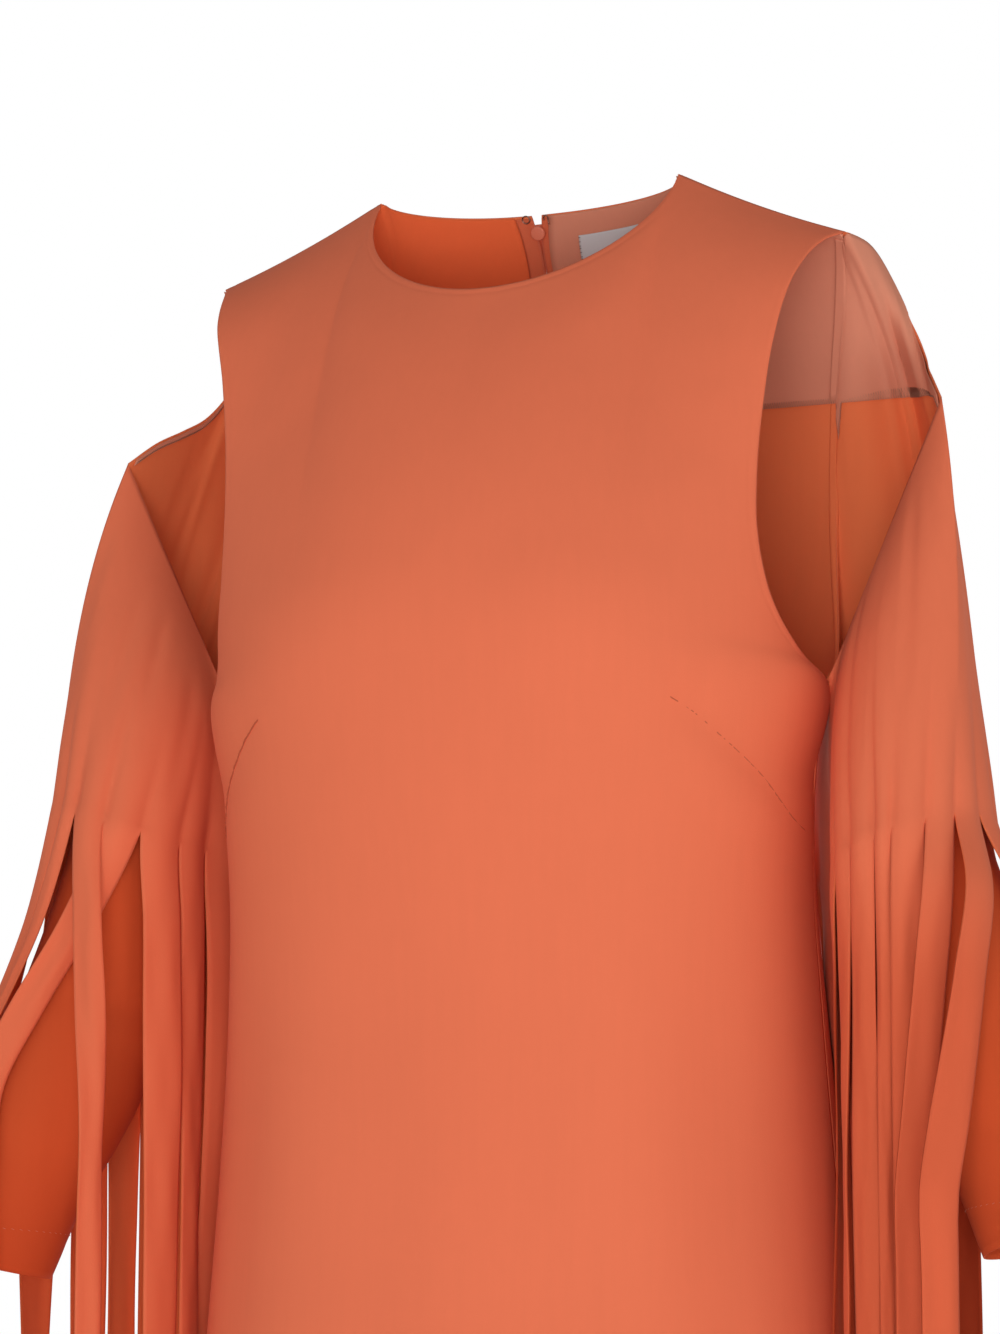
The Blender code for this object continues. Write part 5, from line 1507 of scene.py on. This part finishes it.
    def armhole_tape(self, name: str, finish: Material, slot: str, inset: float,
                     level: float) -> None:
        """Narrow strip over the inside of the back armhole seam, from a level up to the shoulder.

        Its columns lie 5 and 2.5 mm into the back panel, on the seam, and 2.5 and 5 mm into the sleeve.

        Args:
            name: the piece's name.
            finish: its material.
            slot: the record's material slot.
            inset: metres in from the cloth's outer face.
            level: height of its lower end (cm).
        """
        steps_a_row, reach = 3, np.array([0.25, 0.5]) * CM
        grid = self.body.back_grid(self.side)[(len(BODY) - 1) * self.body.row_steps:, ::-1]
        out = normals_of(grid)
        edge = grid[:, 0]
        kept = edge[:, 2] - self.body.facing_edge[1] * edge[:, 1] > level * CM
        kept[-3:] = False
        last = self.front_steps + self.cap_steps + self.arm_steps
        column = last - np.arange(len(grid)) / self.body.row_steps
        sleeve = self.upper(column, np.linspace(0.88, 1.0, 16)) * CM
        away = -normals_of(sleeve)[-1]
        panel = at_lengths(grid, reach[::-1])
        arm = at_lengths(sleeve[::-1].transpose(1, 0, 2), reach)
        rows = np.concatenate([panel - out[:, [2]] * inset, (edge - (out[:, 1] + away) * inset / 2)[:, None],
                               arm - away[:, None] * inset], axis=1)[kept]
        at = np.linspace(0, 4, 4 * steps_a_row + 1)
        points = np.stack([through(np.arange(5.0), row, at) for row in rows])
        self.maker.piece(name, points.reshape(-1, 3), quads(*points.shape[:2])[:, ::-1], finish, slot,
                         self.side, 0.25 * MM)

    @property
    def band_width(self) -> float:
        """Width of the facing along the free edges (cm)."""
        return 1.2 if self.side is Side.LEFT else 0.55

    @property
    def deep_columns(self) -> tuple:
        """Columns over which the facing drops to its full depth."""
        return (14.2, 15.2) if self.side is Side.LEFT else (23.0, 26.0)

    def facing(self) -> None:
        """Build the facing inside the free edges: a sheet behind the shoulder, a band down the front."""
        sheet = self.lining_band(np.linspace(14.3, 26.6, 140), 34)
        band = self.lining_band(np.linspace(5.5, 13.7, 50), 10)
        points, faces = joined([(part.reshape(-1, 3), quads(*part.shape[:2])) for part in (sheet, band)])
        node = f"sleeve_edge_facing_{self.side.word}"
        item = self.maker.piece(f"{node}_cloth", points, faces, self.maker.finishes.facing, "crepe_facing",
                                self.side, TRIM, [node])
        self.maker.overlock(f"facing_overlock_{self.side.word}", sheet, self.side)

    def build(self) -> None:
        """Build the sleeve's pieces."""
        self.outer()
        self.inner()
        self.facing()
        word, finishes = self.side.word, self.maker.finishes
        under_armhole = BACK_ARMHOLE[0].z - 9.5
        self.armhole_tape(f"armhole_seam_{word}", finishes.reverse, "coral_crepe", CLOTH + 0.25 * MM,
                          under_armhole)
        self.armhole_tape(f"facing_seam_{word}", finishes.facing, "crepe_facing", CLOTH + 2.0 * MM,
                          self.body.facing_edge[0])


# ---------------------------------------------------------------- scene


@dataclass
class Studio:
    """Pale floor, soft light from the camera's side and the camera at the photograph's angle."""

    camera_place: tuple = (0.9748, -2.6781, -0.789)
    pitch: float = 100.02
    heading: float = 20.339
    lens: float = 134.26
    floor_z: float = -1.485

    def floor(self) -> None:
        """A wide pale floor just under the hem."""
        half, z = 9.0, self.floor_z
        mesh = bpy.data.meshes.new("floor")
        mesh.from_pydata([(-half, -half, z), (half, -half, z), (half, half, z), (-half, half, z)], [],
                         [(0, 1, 2, 3)])
        material, _, _ = new_material("pale_floor", {
            "Base Color": (0.86, 0.86, 0.86, 1.0), "Roughness": 0.9,
            "Emission Color": (1.0, 1.0, 1.0, 1.0), "Emission Strength": 0.35})
        mesh.materials.append(material)
        placed("floor", mesh)

    def world(self) -> None:
        """White seen by the camera, dimmer as light."""
        world = bpy.data.worlds.new("studio")
        bpy.context.scene.world = world
        world.use_nodes = True
        tree = world.node_tree
        back = tree.nodes["Background"]
        path = add_node(tree, "LightPath", {})
        strength = add_node(tree, "MapRange", {"To Min": 0.36, "To Max": 1.0})
        set_values(back, {"Color": (1.0, 1.0, 1.0, 1.0)})
        tree.links.new(path.outputs["Is Camera Ray"], strength.inputs["Value"])
        tree.links.new(strength.outputs["Result"], back.inputs["Strength"])

    def light(self, name: str, place: tuple, target: tuple, size: float, power: float,
              colour: tuple) -> None:
        """A square soft light at a place, turned to its target."""
        data = bpy.data.lights.new(name, "AREA")
        data.size = size
        data.energy = power
        data.color = colour
        item = placed(name, data)
        item.location = place
        x, y, z = np.array(target) - np.array(place)
        item.rotation_mode = "XYZ"
        item.rotation_euler = (math.atan2(math.hypot(x, y), -z), 0, math.atan2(-x, y))

    def camera(self) -> None:
        """The camera, its long side upright."""
        data = bpy.data.cameras.new("camera")
        data.lens = self.lens
        data.sensor_width = 36.0
        data.sensor_fit = "AUTO"
        item = placed("camera", data)
        item.location = self.camera_place
        item.rotation_euler = (math.radians(self.pitch), 0, math.radians(self.heading))
        bpy.context.scene.camera = item

    def build(self) -> None:
        """Build the studio."""
        self.camera()
        self.floor()
        self.world()
        self.light("key", (0.80, -3.0, -1.25), (0.0, 0.0, -0.58), 1.4, 50.0, (1.0, 0.985, 0.98))
        self.light("side", (2.6, -1.6, -1.0), (0.2, 0.0, -0.7), 1.8, 11.0, (1.0, 0.99, 0.98))
        self.light("back_light", (-1.2, 3.2, -0.3), (0.0, 0.0, -0.6), 2.2, 40.0, (1.0, 1.0, 1.0))
        bpy.context.scene.view_settings.view_transform = "Standard"


def main() -> None:
    """Build the dress and its studio."""
    logging.basicConfig(level=logging.INFO, format="%(name)s %(message)s")
    finishes = Finishes()
    maker = Maker(finishes)
    body = Bodice(maker)
    body.build()
    for side in Side:
        Sleeve(maker, side, body).build()
    Studio().build()


if __name__ == "__main__":
    main()
